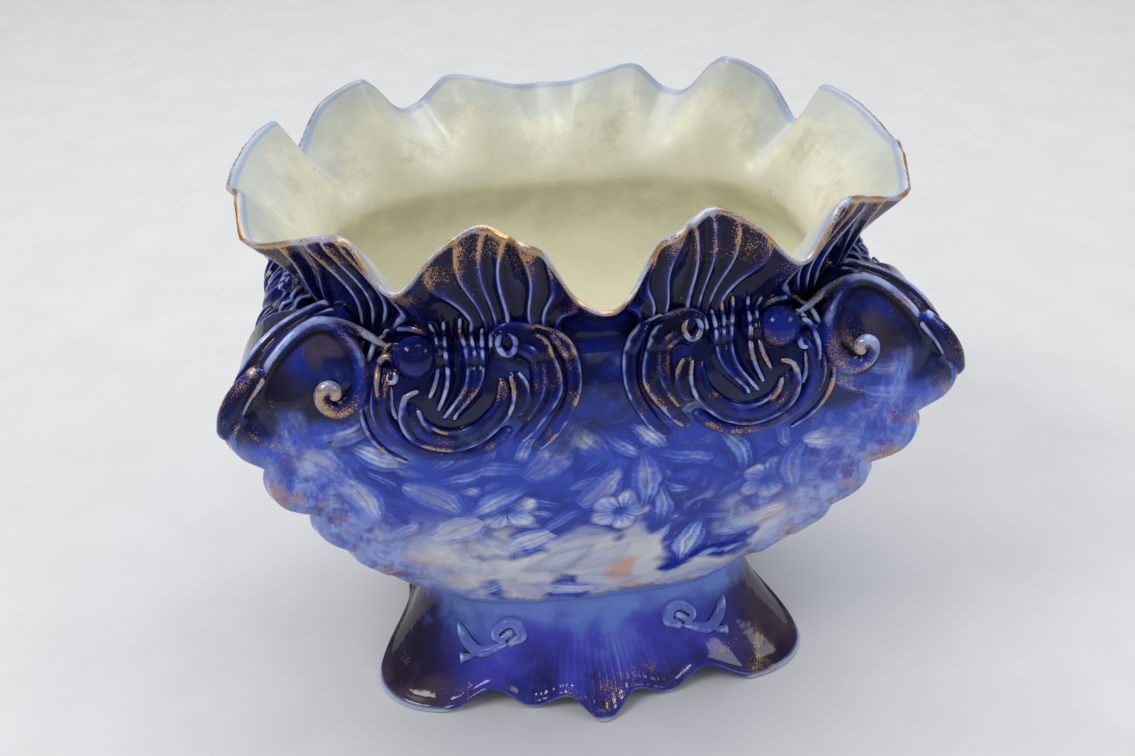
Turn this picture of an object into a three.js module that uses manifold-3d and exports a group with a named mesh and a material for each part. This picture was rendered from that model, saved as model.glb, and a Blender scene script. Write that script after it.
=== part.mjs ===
// Jardiniere: an oblong cast-earthenware holder for a plant pot, glazed all over.
// A flared foot with four corner wings carries a swelling bowl, and a ruffled collar closes it at the top.
// The moulded ornament was pressed separately and luted on with slip: four corner scrolls, six scroll
// cartouches round the shoulder and four small sprigs on the foot. Each of these pieces is its own mesh.
// Millimetres. X runs along the length, -Y is the front, +Z is up, and the origin is the middle of the base.

import * as THREE from 'three';
import Module from 'manifold-3d';
import { mergeVertices } from 'three/addons/utils/BufferGeometryUtils.js';

// Heights
const FOOT_HEIGHT = 44; // floor to the waist
const BELLY_HEIGHT = 136; // waist to the widest level, where the corner knobs sit
const SHOULDER_HEIGHT = 24; // widest level to the neck
const RIM_HEIGHT = 54; // neck to the tallest ruffle

// Half sizes of the outer skin in plan: at the middle of a side, at the middle of a face, and at a corner
const WAIST_PLAN = { side: 80, face: 60, cornerX: 85, cornerY: 52, squareness: 4 };
const BELLY_PLAN = { side: 137, face: 97, cornerX: 151, cornerY: 92, squareness: 9 };
const NECK_HALF_LENGTH = 114;
const NECK_HALF_DEPTH = 85;
const NECK_PLAN = {
  side: NECK_HALF_LENGTH,
  face: NECK_HALF_DEPTH,
  cornerX: NECK_HALF_LENGTH,
  cornerY: NECK_HALF_DEPTH,
  squareness: 3,
};
const SIDE_SWELL = 0.4; // how far the side profile bows out from a straight flare
const FACE_SWELL = 0.8; // the same for the two long faces

// Walls and joints
const BOWL_WALL = 7;
const FLOOR_THICKNESS = 7;
const RIM_WALL = 5;
const LIP_WALL = 3.6;
const FOOT_WALL = 6;
const SLIP_GAP = 0.3; // the seam between two luted pieces

// Ruffles of the rim from the middle of a side to the middle of a long face, mirrored left to right:
// plan angle in degrees, how far the lip leans out from the neck, and how far it falls below the tallest ruffle.
// The hand-pinched ruffles sit a little closer together along the back.
const SIDE_RUFFLE = { angle: 0, lean: 31, drop: 14 };
const FRONT_RUFFLES = [
  SIDE_RUFFLE,
  { angle: 12, lean: 25, drop: 7 },
  { angle: 21, lean: 26, drop: 17 },
  { angle: 30, lean: 16, drop: 12 },
  { angle: 39, lean: 18, drop: 4 },
  { angle: 45, lean: 22, drop: 3 },
  { angle: 51, lean: 21, drop: 22 },
  { angle: 57, lean: 12, drop: 8 },
  { angle: 63, lean: 6, drop: 1 },
  { angle: 69, lean: 9, drop: 3 },
  { angle: 75, lean: 18, drop: 4 },
  { angle: 78, lean: 14, drop: 10 },
  { angle: 84, lean: 18, drop: 26 },
  { angle: 90, lean: 29, drop: 27 },
];
const BACK_RUFFLES = [
  SIDE_RUFFLE,
  { angle: 12, lean: 27, drop: 9 },
  { angle: 21, lean: 22, drop: 7 },
  { angle: 24, lean: 25, drop: 14 },
  { angle: 30, lean: 28, drop: 32 },
  { angle: 36, lean: 24, drop: 12 },
  { angle: 42, lean: 15, drop: 2 },
  { angle: 48, lean: 24, drop: 8 },
  { angle: 54, lean: 27, drop: 23 },
  { angle: 60, lean: 32, drop: 24 },
  { angle: 66, lean: 28, drop: 11 },
  { angle: 72, lean: 19, drop: 10 },
  { angle: 81, lean: 19, drop: 15 },
  { angle: 90, lean: 29, drop: 19 },
];
const FLARE_CURL = 1.7; // above 1 the collar stands up first and leans out near the lip

// Sole of one quarter of the foot in the same order: plan angle, reach from the middle, and lift off the floor
const SOLE = [
  { angle: 0, reach: 90, lift: 6 },
  { angle: 12, reach: 95, lift: 9 },
  { angle: 26, reach: 118, lift: 0 },
  { angle: 36, reach: 121, lift: 0 },
  { angle: 47, reach: 111, lift: 0 },
  { angle: 57, reach: 95, lift: 10 },
  { angle: 68, reach: 91, lift: 1 },
  { angle: 80, reach: 89, lift: 8 },
  { angle: 90, reach: 98, lift: 0 },
];
const FOOT_CURL = 1.6; // above 1 the foot drops first and spreads near the sole

// Corner scrolls
const CROWN_INSET = 9; // the crown of the scroll behind the neck's squared corner
const CROWN_RISE = 15; // the crown above the neck
const LONG_CHEEK_INSET = 0.8; // the long cheek behind the middle of the long face
const SHORT_CHEEK_INSET = 6; // the short cheek behind the belly's squared corner
const CHEEK_LENGTH = 55; // along the long face, from the knob to the far side of the volute
const CHEEK_DEPTH = 42; // the same round on the short side
const STRAP_WIDTH = 13; // the band between the two cheeks
const STRAP_THICKNESS = 4;
const STRAP_INSET = 4.5; // the strap behind the sharp edge where the cheeks would meet
const STRAP_EDGE = 2.2; // raised edges of the band
const KNOB_LENGTH = 21;
const KNOB_RADIUS = 6;
const VOLUTE_RADIUS = 11.5;
const VOLUTE_BEAD = 3.4;
const VOLUTE_TURNS = 1.35;
const SCALLOPS = 5;
const SCALLOP_PITCH = 19;
const SCALLOP_DEPTH = 12; // how far the fullest scallop stands out along the corner
const SCALLOP_THICKNESS = 12;

// Cartouches on the shoulder
const CARTOUCHE_OFFSET = 59; // middle of a cartouche from the middle of a long face
const CARTOUCHE_RISE = 18; // its centre above the belly
const CARTOUCHE_CURVE = 65; // radius on which it leans in above the belly
const CARTOUCHE_STAND = 1; // its beads' centres in front of the skin
const CRESCENT_RADIUS = 24;
const CRESCENT_BEAD = 4.8;
const CRESCENT_DROP = 5; // its centre below the cartouche's own
const BALL_RADIUS = 8;
const TAILS = 3;
const TAIL_PITCH = 8;
const TAIL_BEAD = 2.7;
const FLUTES = 3;
const FLUTE_BEAD = 2.8;

// Sprigs on the foot
const SPRIG_ANGLE = 50;
const SPRIG_FALL = 0.4; // share of the way from the waist to the sole
const SPRIG_RADIUS = 6;
const SPRIG_BEAD = 2.6;
const SPRIG_LENGTH = 26;

// Fineness of the facets
const BOWL_AROUND = 60;
const RIM_AROUND = 120;
const FOOT_AROUND = 72;
const BELLY_STEPS = 5;
const SHOULDER_STEPS = 3;
const CAVITY_STEPS = 4;
const RIM_STEPS = 3;
const FOOT_STEPS = 3;
const BEAD_SIDES = 5;
const VOLUTE_STEPS = 11;
const STRAP_STEPS = 5;
const SCALLOP_STEPS = 3;
const CRESCENT_STEPS = 8;
const TAIL_STEPS = 4;
const FLUTE_STEPS = 3;
const CURVE_SEGMENTS = 3;

const WAIST_Z = FOOT_HEIGHT;
const BELLY_Z = WAIST_Z + BELLY_HEIGHT;
const NECK_Z = BELLY_Z + SHOULDER_HEIGHT;
const UP = new THREE.Vector3(0, 0, 1);

const wasm = await Module();
wasm.setup();

const mix = (from, to, share) => from + (to - from) * share;
const radians = THREE.MathUtils.degToRad;
const point = (x, y, z) => new THREE.Vector3(x, y, z);

// Radius of a plan outline at an angle: a squared oval whose long faces crown slightly towards the middle
// and whose short sides are drawn in between the corners.
function planRadius(angle, plan) {
  const along = Math.abs(Math.cos(angle));
  const across = Math.abs(Math.sin(angle));
  const turn = (across / Math.max(along, 1e-6)) * (plan.cornerX / plan.cornerY);
  const halfLength = mix(plan.side, plan.cornerX, Math.min(1, turn) ** 2);
  const halfDepth = mix(plan.face, plan.cornerY, Math.min(1, 1 / Math.max(turn, 1e-6)) ** 2);
  const sum = (along / halfLength) ** plan.squareness + (across / halfDepth) ** plan.squareness;
  return sum ** (-1 / plan.squareness);
}

function mixPlans(from, to, sideShare, faceShare) {
  return {
    side: mix(from.side, to.side, sideShare),
    face: mix(from.face, to.face, faceShare),
    cornerX: mix(from.cornerX, to.cornerX, sideShare),
    cornerY: mix(from.cornerY, to.cornerY, sideShare),
    squareness: mix(from.squareness, to.squareness, sideShare),
  };
}

// Plan outline of the bowl at a height: a swelling flare up to the belly, then a round shoulder into the neck.
function bowlPlan(z) {
  if (z <= BELLY_Z) {
    const climb = Math.max(0, (z - WAIST_Z) / BELLY_HEIGHT);
    const bow = climb * (1 - climb);
    return mixPlans(WAIST_PLAN, BELLY_PLAN, climb + SIDE_SWELL * bow, climb + FACE_SWELL * bow);
  }
  const climb = Math.min(1, (z - BELLY_Z) / SHOULDER_HEIGHT);
  const share = 1 - Math.sqrt(1 - climb ** 2);
  return mixPlans(BELLY_PLAN, NECK_PLAN, share, share);
}

const onPlan = (angle, radius, z) => point(radius * Math.cos(angle), radius * Math.sin(angle), z);

const bowlSkin = (angle, z) => onPlan(angle, planRadius(angle, bowlPlan(z)), z);

// Smooth value round the pot from the list of one quarter, which its mirror image follows.
function quarterCurve(list, key) {
  const folded = (entry, angle) => ({ angle, value: entry[key] });
  const stations = [
    folded(list[1], -list[1].angle),
    ...list.map((entry) => folded(entry, entry.angle)),
    folded(list.at(-2), 180 - list.at(-2).angle),
  ];
  return (angle) => {
    const degrees = THREE.MathUtils.radToDeg(Math.asin(Math.min(1, Math.abs(Math.sin(angle)))));
    const found = stations.findIndex((entry) => entry.angle > degrees);
    const next = Math.min(found, stations.length - 2);
    const [before, from, to, after] = stations.slice(next - 2, next + 2);
    const span = to.angle - from.angle;
    const share = (degrees - from.angle) / span;
    const slopeFrom = ((to.value - before.value) / (to.angle - before.angle)) * span;
    const slopeTo = ((after.value - from.value) / (after.angle - from.angle)) * span;
    const squared = share ** 2;
    const cubed = share ** 3;
    return (
      (2 * cubed - 3 * squared + 1) * from.value +
      (cubed - 2 * squared + share) * slopeFrom +
      (3 * squared - 2 * cubed) * to.value +
      (cubed - squared) * slopeTo
    );
  };
}

function halvesCurve(frontList, backList, key) {
  const front = quarterCurve(frontList, key);
  const back = quarterCurve(backList, key);
  return (angle) => (Math.sin(angle) < 0 ? front(angle) : back(angle));
}

const lipLean = halvesCurve(FRONT_RUFFLES, BACK_RUFFLES, 'lean');
const lipDrop = halvesCurve(FRONT_RUFFLES, BACK_RUFFLES, 'drop');
const soleReach = quarterCurve(SOLE, 'reach');
const soleLift = quarterCurve(SOLE, 'lift');

// Outer skin of the ruffled collar: climb 0 is the neck and climb 1 the lip.
function rimSkin(angle, climb) {
  const lean = lipLean(angle) * climb ** FLARE_CURL;
  const rise = mix(SLIP_GAP, RIM_HEIGHT - lipDrop(angle), climb);
  return onPlan(angle, planRadius(angle, NECK_PLAN) + lean, NECK_Z + rise);
}

// Outer skin of the foot: fall 0 is the waist and fall 1 the sole.
function footSkin(angle, fall) {
  const waist = planRadius(angle, WAIST_PLAN);
  const reach = mix(waist, soleReach(angle), fall ** FOOT_CURL);
  return onPlan(angle, reach, mix(WAIST_Z - SLIP_GAP, Math.max(0, soleLift(angle)), fall));
}

const ring = (count, pointAt) => Array.from({ length: count }, (_, i) => pointAt((2 * Math.PI * i) / count));

const rows = (steps, ringAt) => Array.from({ length: steps + 1 }, (_, i) => ringAt(i / steps));

// Moves a ring sideways in plan only: inwards for a wall, or outwards.
const widened = (points, by) => points.map((p) => p.clone().add(point(p.x, p.y, 0).setLength(by)));

function surface(points, faces) {
  const geometry = new THREE.BufferGeometry();
  geometry.setAttribute('position', new THREE.Float32BufferAttribute(points.flatMap((p) => p.toArray()), 3));
  geometry.setIndex(faces);
  return geometry;
}

// Closed body through a row of rings. With ends 'caps' the first and last ring are closed by a fan,
// and with ends 'join' the last ring runs back to the first, as on a hoop.
// Each facet is split along its shorter diagonal, so mirrored corners are faceted alike.
function loft(rings, ends) {
  const count = rings[0].length;
  const points = rings.flat();
  const faces = [];
  const bands = ends === 'join' ? rings.length : rings.length - 1;
  for (let row = 0; row < bands; row += 1) {
    const next = (row + 1) % rings.length;
    for (let i = 0; i < count; i += 1) {
      const j = (i + 1) % count;
      const [a, b, c, d] = [row * count + i, row * count + j, next * count + j, next * count + i];
      const rising = points[a].distanceTo(points[c]) < points[b].distanceTo(points[d]);
      faces.push(...(rising ? [a, b, c, a, c, d] : [a, b, d, b, c, d]));
    }
  }
  if (ends === 'caps') {
    for (const row of [0, rings.length - 1]) {
      const middle = points.length;
      points.push(rings[row].reduce((sum, p) => sum.add(p), point(0, 0, 0)).divideScalar(count));
      for (let i = 0; i < count; i += 1) {
        const [a, b] = [row * count + i, row * count + ((i + 1) % count)];
        faces.push(...(row === 0 ? [b, a, middle] : [a, b, middle]));
      }
    }
  }
  return surface(points, faces);
}

function solid(geometry) {
  const bare = geometry.clone();
  bare.deleteAttribute('normal');
  bare.deleteAttribute('uv');
  const merged = mergeVertices(bare, 1e-4);
  return new wasm.Manifold(
    new wasm.Mesh({
      numProp: 3,
      vertProperties: new Float32Array(merged.attributes.position.array),
      triVerts: new Uint32Array(merged.index.array),
    }),
  );
}

function shape(manifold) {
  const mesh = manifold.getMesh();
  const geometry = new THREE.BufferGeometry();
  geometry.setAttribute('position', new THREE.Float32BufferAttribute(mesh.vertProperties, 3));
  geometry.setIndex(Array.from(mesh.triVerts));
  return geometry;
}

const fuse = (geometries) => geometries.map(solid).reduce((whole, part) => whole.add(part));

// Bowl: outer skin up from the flat underside, then the cavity down to a flat floor.
const bowlRing = (z) => ring(BOWL_AROUND, (angle) => bowlSkin(angle, z));
const bellyRings = rows(BELLY_STEPS, (share) => bowlRing(mix(WAIST_Z, BELLY_Z, share)));
const shoulderRings = rows(SHOULDER_STEPS, (share) =>
  bowlRing(BELLY_Z + SHOULDER_HEIGHT * Math.sin((share * Math.PI) / 2)),
);
const bowlRings = [...bellyRings, ...shoulderRings.slice(1)];

// The cavity follows the skin with softer corners and narrows to the neck at the top.
function cavityRing(share) {
  const z = mix(NECK_Z, WAIST_Z + FLOOR_THICKNESS, share);
  const plan = { ...bowlPlan(Math.min(z, BELLY_Z)), squareness: NECK_PLAN.squareness };
  const neckShare = Math.max(0, (z - BELLY_Z) / SHOULDER_HEIGHT) ** 2;
  const radiusAt = (angle) => mix(planRadius(angle, plan), planRadius(angle, NECK_PLAN), neckShare);
  const wall = mix(BOWL_WALL, RIM_WALL, neckShare);
  return ring(BOWL_AROUND, (angle) => onPlan(angle, radiusAt(angle) - wall, z));
}

const bowlShape = () => loft([...bowlRings, ...rows(CAVITY_STEPS, cavityRing)], 'caps');

// Collar: outer skin up to the lip, over the edge, and back down inside it.
const rimRings = rows(RIM_STEPS, (climb) => ring(RIM_AROUND, (angle) => rimSkin(angle, climb)));

function rimShape() {
  const inner = rimRings.map((points, i) => widened(points, -mix(RIM_WALL, LIP_WALL, i / RIM_STEPS)));
  return loft([...rimRings, ...inner.reverse()], 'join');
}

// Foot: outer skin down to the sole and the hollow back up inside it.
const footRings = rows(FOOT_STEPS, (fall) => ring(FOOT_AROUND, (angle) => footSkin(angle, fall)));

function footShape() {
  const inner = footRings.map((points) => widened(points, -FOOT_WALL));
  return loft([...footRings.toReversed(), ...inner], 'join');
}

// Solid block of a skin, swollen square to its profile by the slip gap, to seat the ornament on.
function swollen(rings) {
  return loft(
    rings.map((points, row) => {
      const below = rings[Math.max(0, row - 1)];
      const above = rings[Math.min(rings.length - 1, row + 1)];
      return points.map((p, i) => {
        const out = point(p.x, p.y, 0).normalize();
        const run = Math.hypot(above[i].x, above[i].y) - Math.hypot(below[i].x, below[i].y);
        const rise = above[i].z - below[i].z;
        const slope = Math.hypot(run, rise);
        return p.clone().addScaledVector(out, (SLIP_GAP * rise) / slope).addScaledVector(UP, (-SLIP_GAP * run) / slope);
      });
    }),
    'caps',
  );
}

const seats = [bowlRings, rimRings, footRings.toReversed()].map((rings) => solid(swollen(rings)));

// Copy of a piece on the other side of the X or Y mirror, with its faces turned to point out again.
function mirrored(geometry, sideX, sideY) {
  const copy = geometry.clone().scale(sideX, sideY, 1);
  if (sideX * sideY < 0) {
    const index = Array.from(copy.index.array);
    for (let i = 0; i < index.length; i += 3) {
      [index[i], index[i + 1]] = [index[i + 1], index[i]];
    }
    copy.setIndex(index);
  }
  return copy;
}

// Ornament as it sits on the pot: moved to its own corner and cut to the part outside the skins.
// Crumbs that the cut leaves beside the main body are dropped.
function seated(geometries, { sideX, sideY }) {
  const whole = fuse(geometries.map((geometry) => mirrored(geometry, sideX, sideY)));
  const bodies = seats.reduce((rest, seat) => rest.subtract(seat), whole).decompose();
  return shape(bodies.sort((a, b) => b.volume() - a.volume())[0]);
}

// Rounded bead along a path, lying on a skin that faces the given way, with its radius at each point.
// Its width across the skin is a share of the radius.
function bead(path, radii, facing, width = 1) {
  const rings = path.map((p, i) => {
    const ahead = path[Math.min(path.length - 1, i + 1)];
    const behind = path[Math.max(0, i - 1)];
    const travel = ahead.clone().sub(behind).normalize();
    const out = facing.clone().addScaledVector(travel, -facing.dot(travel)).normalize();
    const across = out.clone().cross(travel);
    return Array.from({ length: BEAD_SIDES }, (_, k) => {
      const turn = (2 * Math.PI * k) / BEAD_SIDES;
      return p
        .clone()
        .addScaledVector(across, width * radii[i] * Math.cos(turn))
        .addScaledVector(out, radii[i] * Math.sin(turn));
    });
  });
  return loft(rings, 'caps');
}

// Radii that swell to the full size in the middle of a bead and taper to a share of it at the ends.
const taper = (steps, radius, endShare) =>
  Array.from({ length: steps + 1 }, (_, i) => radius * mix(endShare, 1, Math.sin((Math.PI * i) / steps) ** 0.6));

function ball(centre, radius) {
  const geometry = new THREE.SphereGeometry(radius, 7, 5);
  geometry.translate(centre.x, centre.y, centre.z);
  return geometry;
}

// Corner scroll, worked out on the corner where X and Y are positive.
const crown = point(NECK_PLAN.cornerX - CROWN_INSET, NECK_PLAN.cornerY - CROWN_INSET, NECK_Z + CROWN_RISE);
const heel = point(BELLY_PLAN.cornerX - SHORT_CHEEK_INSET, BELLY_PLAN.face - LONG_CHEEK_INSET, BELLY_Z);
const bend = point(mix(crown.x, heel.x, 0.8), mix(crown.y, heel.y, 0.85), crown.z - 1);
const outward = point(heel.x, heel.y, 0).normalize();
const inset = outward.clone().multiplyScalar(-STRAP_INSET);
const strapArc = new THREE.QuadraticBezierCurve3(
  crown.clone().add(inset),
  bend.clone().add(inset),
  heel.clone().add(inset),
);

// Outline of a cheek: under the strap's arc on one side and round the volute on the other.
function cheekOutline(axis, length) {
  const far = heel[axis] - length;
  const outline = new THREE.Shape();
  outline.moveTo(far + length / 3, BELLY_Z);
  outline.lineTo(heel[axis], BELLY_Z);
  outline.quadraticCurveTo(bend[axis], bend.z, crown[axis], crown.z);
  outline.quadraticCurveTo(far, crown.z, far, mix(BELLY_Z, crown.z, 0.45));
  outline.quadraticCurveTo(far, BELLY_Z, far + length / 3, BELLY_Z);
  return outline;
}

function cornerBlock() {
  const options = { bevelEnabled: false, curveSegments: CURVE_SEGMENTS };
  const [depthY, depthX] = [heel.y + STRAP_WIDTH, heel.x + STRAP_WIDTH];
  const longCheek = new THREE.ExtrudeGeometry(cheekOutline('x', CHEEK_LENGTH), { ...options, depth: depthY });
  longCheek.rotateX(Math.PI / 2).translate(0, depthY, 0);
  const shortCheek = new THREE.ExtrudeGeometry(cheekOutline('y', CHEEK_DEPTH), { ...options, depth: depthX });
  shortCheek.applyMatrix4(new THREE.Matrix4().makeBasis(point(0, 1, 0), UP, point(1, 0, 0)));
  return shape(solid(longCheek).intersect(solid(shortCheek)));
}

// Strap: a band with raised edges that follows the arc from the crown to the knob.
function strap() {
  const half = STRAP_WIDTH / 2;
  const section = [
    [-half, -STRAP_THICKNESS],
    [half, -STRAP_THICKNESS],
    [half, STRAP_EDGE],
    [half - STRAP_EDGE, STRAP_EDGE],
    [half - 2 * STRAP_EDGE, 0],
    [-half + 2 * STRAP_EDGE, 0],
    [-half + STRAP_EDGE, STRAP_EDGE],
    [-half, STRAP_EDGE],
  ];
  const across = UP.clone().cross(outward);
  const rings = rows(STRAP_STEPS, (share) => {
    const travel = strapArc.getTangent(share);
    const out = travel.clone().cross(across).normalize();
    const middle = strapArc.getPoint(share);
    return section.map(([side, height]) => middle.clone().addScaledVector(across, side).addScaledVector(out, height));
  });
  return loft(rings, 'caps');
}

// Volute: a spiral bead that leaves the crown, runs round the far side and curls into the middle.
function volute() {
  const centreX = heel.x - CHEEK_LENGTH + VOLUTE_RADIUS + VOLUTE_BEAD;
  const centreZ = mix(BELLY_Z, crown.z, 0.45);
  const path = [];
  const radii = [];
  for (let i = 0; i <= VOLUTE_STEPS; i += 1) {
    const share = i / VOLUTE_STEPS;
    const turn = Math.PI / 2 + 2 * Math.PI * VOLUTE_TURNS * share;
    const reach = VOLUTE_RADIUS * mix(1, 0.2, share);
    const z = centreZ + reach * Math.sin(turn);
    const lean = (heel.y - crown.y) * Math.max(0, (z - BELLY_Z) / (crown.z - BELLY_Z)) ** 3;
    path.push(point(centreX + reach * Math.cos(turn), heel.y - lean, z));
    radii.push(VOLUTE_BEAD * mix(0.8, 1.2, share));
  }
  return bead(path, radii, point(0, 1, 0));
}

function cornerScroll() {
  const down = strapArc.getTangent(1);
  const knobPath = rows(4, (share) => strapArc.getPoint(1).addScaledVector(down, KNOB_LENGTH * (share - 0.55)));
  const pieces = [cornerBlock(), strap(), volute(), bead(knobPath, taper(4, KNOB_RADIUS, 0.5), outward)];
  const corner = (z) => Math.atan2(bowlPlan(z).cornerY, bowlPlan(z).cornerX);
  const steps = SCALLOPS * SCALLOP_STEPS;
  const edge = rows(steps, (share) => {
    const z = BELLY_Z - SCALLOP_PITCH * SCALLOPS * share;
    return bowlSkin(corner(z), z);
  });
  const depths = edge.map((_, i) => {
    const swell = Math.abs(Math.sin((Math.PI * i) / SCALLOP_STEPS)) ** 0.7;
    return SCALLOP_DEPTH * mix(1, 0.6, i / steps) * mix(0.6, 1, swell);
  });
  pieces.push(bead(edge, depths, outward, SCALLOP_THICKNESS / (2 * SCALLOP_DEPTH)));
  return pieces;
}

// Where a cartouche lies: u runs along the face and z is its height.
// It follows the belly's outline and leans in above the belly.
function faceSpot(u, z, face) {
  const plan = bowlPlan(Math.min(z, BELLY_Z));
  const wanted = Math.abs(u);
  let [low, high] = [0, Math.PI / 2];
  for (let i = 0; i < 24; i += 1) {
    const angle = (low + high) / 2;
    const along = planRadius(angle, plan) * (face === 'long' ? Math.cos(angle) : Math.sin(angle));
    const tooFar = face === 'long' ? along > wanted : along < wanted;
    [low, high] = tooFar ? [angle, high] : [low, angle];
  }
  const out = CARTOUCHE_STAND - Math.max(0, z - BELLY_Z) ** 2 / (2 * CARTOUCHE_CURVE);
  if (face === 'long') {
    return point(u, planRadius(low, plan) * Math.sin(low) + out, z);
  }
  return point(planRadius(low, plan) * Math.cos(low) + out, u, z);
}

// Cartouche: a crescent open at the top with a ball in its outer horn, a round head on its inner horn,
// tails nested beside it and flutes running down into it.
function cartouche(face, centreU) {
  const centreZ = BELLY_Z + CARTOUCHE_RISE;
  const facing = face === 'long' ? point(0, 1, 0) : point(1, 0, 0);
  const spot = (u, z) => faceSpot(centreU + u, centreZ + z, face);
  const crescent = rows(CRESCENT_STEPS, (share) => {
    const turn = radians(mix(20, -200, share));
    return spot(CRESCENT_RADIUS * Math.cos(turn), CRESCENT_RADIUS * Math.sin(turn) - CRESCENT_DROP);
  });
  const head = BALL_RADIUS * 0.9;
  const pieces = [
    bead(crescent, taper(CRESCENT_STEPS, CRESCENT_BEAD, 0.55), facing),
    ball(spot(CRESCENT_RADIUS * 0.5, BALL_RADIUS), BALL_RADIUS),
    ball(spot(-CRESCENT_RADIUS, BALL_RADIUS), head),
  ];
  for (let i = 1; i <= TAILS; i += 1) {
    const path = rows(TAIL_STEPS, (share) => {
      const turn = radians(mix(152, 224, share));
      const radius = CRESCENT_RADIUS + TAIL_PITCH * i * Math.min(1, share * 2.5) ** 0.5;
      return spot(radius * Math.cos(turn), radius * Math.sin(turn) - CRESCENT_DROP);
    });
    pieces.push(bead(path, taper(TAIL_STEPS, TAIL_BEAD, 0.5), facing));
  }
  for (let i = 0; i < FLUTES; i += 1) {
    const u = mix(-CRESCENT_RADIUS * 0.45, CRESCENT_RADIUS * 0.45, i / (FLUTES - 1));
    const bottom = -Math.sqrt(CRESCENT_RADIUS ** 2 - u ** 2) - CRESCENT_DROP;
    const path = rows(FLUTE_STEPS, (share) =>
      spot(u + FLUTE_BEAD * 0.6 * Math.sin(share * 2 * Math.PI), mix(bottom, CRESCENT_BEAD, share)),
    );
    pieces.push(bead(path, taper(FLUTE_STEPS, FLUTE_BEAD, 0.6), facing));
  }
  return pieces;
}

// Sprig: a small scroll with a curled head and a tail on the slope of the foot.
function footSprig() {
  const centreAngle = radians(SPRIG_ANGLE);
  const radius = footSkin(centreAngle, SPRIG_FALL).length();
  const spot = (u, z) => footSkin(centreAngle + u / radius, SPRIG_FALL - z / FOOT_HEIGHT);
  const facing = onPlan(centreAngle, 1, 0.6).normalize();
  const curl = rows(6, (share) => {
    const turn = radians(mix(-60, 230, share));
    const reach = SPRIG_RADIUS * mix(1, 0.45, share);
    return spot(SPRIG_LENGTH / 4 + reach * Math.cos(turn), reach * Math.sin(turn));
  });
  const tail = rows(4, (share) =>
    spot(mix(SPRIG_LENGTH / 3, -SPRIG_LENGTH / 1.6, share), -SPRIG_RADIUS * 0.8 * Math.cos(share * Math.PI)),
  );
  return [bead(curl, taper(6, SPRIG_BEAD, 0.7), facing), bead(tail, taper(4, SPRIG_BEAD, 0.5), facing)];
}

const cobalt = () => new THREE.MeshStandardMaterial({ color: 0x1b2370, roughness: 0.12, metalness: 0 });
const midBlue = () => new THREE.MeshStandardMaterial({ color: 0x4a66b8, roughness: 0.12, metalness: 0 });
const lustre = () => new THREE.MeshStandardMaterial({ color: 0x3a2a4e, roughness: 0.16, metalness: 0.1 });

const jardiniere = new THREE.Group();

function place(name, geometry, material) {
  const mesh = new THREE.Mesh(geometry, material);
  mesh.name = name;
  jardiniere.add(mesh);
}

place('bowl', bowlShape(), midBlue());
place('ruffled_rim', rimShape(), cobalt());
place('foot', footShape(), cobalt());

const CORNERS = [
  { name: 'front_left', sideX: -1, sideY: -1 },
  { name: 'front_right', sideX: 1, sideY: -1 },
  { name: 'back_left', sideX: -1, sideY: 1 },
  { name: 'back_right', sideX: 1, sideY: 1 },
];
const scroll = cornerScroll();
const longCartouche = cartouche('long', CARTOUCHE_OFFSET);
const sprig = footSprig();
for (const corner of CORNERS) {
  place(`corner_scroll_${corner.name}`, seated(scroll, corner), lustre());
  place(`cartouche_${corner.name}`, seated(longCartouche, corner), cobalt());
  place(`foot_sprig_${corner.name}`, seated(sprig, corner), cobalt());
}
const shortCartouche = cartouche('short', 0);
place('cartouche_left', seated(shortCartouche, { sideX: -1, sideY: 1 }), cobalt());
place('cartouche_right', seated(shortCartouche, { sideX: 1, sideY: 1 }), cobalt());

export default jardiniere;
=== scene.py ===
import math

import bpy
import numpy as np
from mathutils import Matrix, Vector


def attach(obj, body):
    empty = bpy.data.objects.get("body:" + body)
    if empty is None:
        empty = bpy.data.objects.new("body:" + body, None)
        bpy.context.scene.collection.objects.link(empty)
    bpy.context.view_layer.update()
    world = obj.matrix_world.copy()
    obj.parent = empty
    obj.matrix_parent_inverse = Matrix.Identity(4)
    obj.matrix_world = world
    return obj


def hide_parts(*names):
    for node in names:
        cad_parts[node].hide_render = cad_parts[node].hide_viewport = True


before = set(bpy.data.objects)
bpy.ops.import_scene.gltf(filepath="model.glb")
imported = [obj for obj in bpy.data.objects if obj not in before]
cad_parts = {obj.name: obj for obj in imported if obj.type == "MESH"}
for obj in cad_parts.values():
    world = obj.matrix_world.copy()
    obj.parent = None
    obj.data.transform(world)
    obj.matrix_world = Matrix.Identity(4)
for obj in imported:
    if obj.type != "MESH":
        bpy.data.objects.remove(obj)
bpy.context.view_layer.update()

# The bowl: a slip-cast earthenware body, squared in plan, that swells from the waist to a belly and
# closes over a round shoulder into the neck. Its outside carries a blurred blue print of leaves and
# blossoms under a clear glaze, and its inside is plain cream.
MM = 0.001
WAIST, BELLY, NECK = 44.0, 180.0, 204.0
BOWL_WALL, NECK_WALL, FLOOR = 7.0, 5.0, 51.0
# height over which the inside closes towards the neck, below the belly
CLOSING = 18.0

# half sizes in plan: middle of a side, middle of a face, corner along X, corner along Y, squareness
waist_plan = (80.0, 60.0, 85.0, 52.0, 4.0)
belly_plan = (137.0, 97.0, 151.0, 92.0, 9.0)
neck_plan = (114.0, 85.0, 114.0, 85.0, 3.0)

# heel of the strap on a corner, and the direction in which the corner points in plan
HEEL_X, HEEL_Y = 145.0, 96.2
outward = np.array([HEEL_X, HEEL_Y, 0]) / math.hypot(HEEL_X, HEEL_Y)
across = np.array([-outward[1], outward[0], 0])
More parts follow.
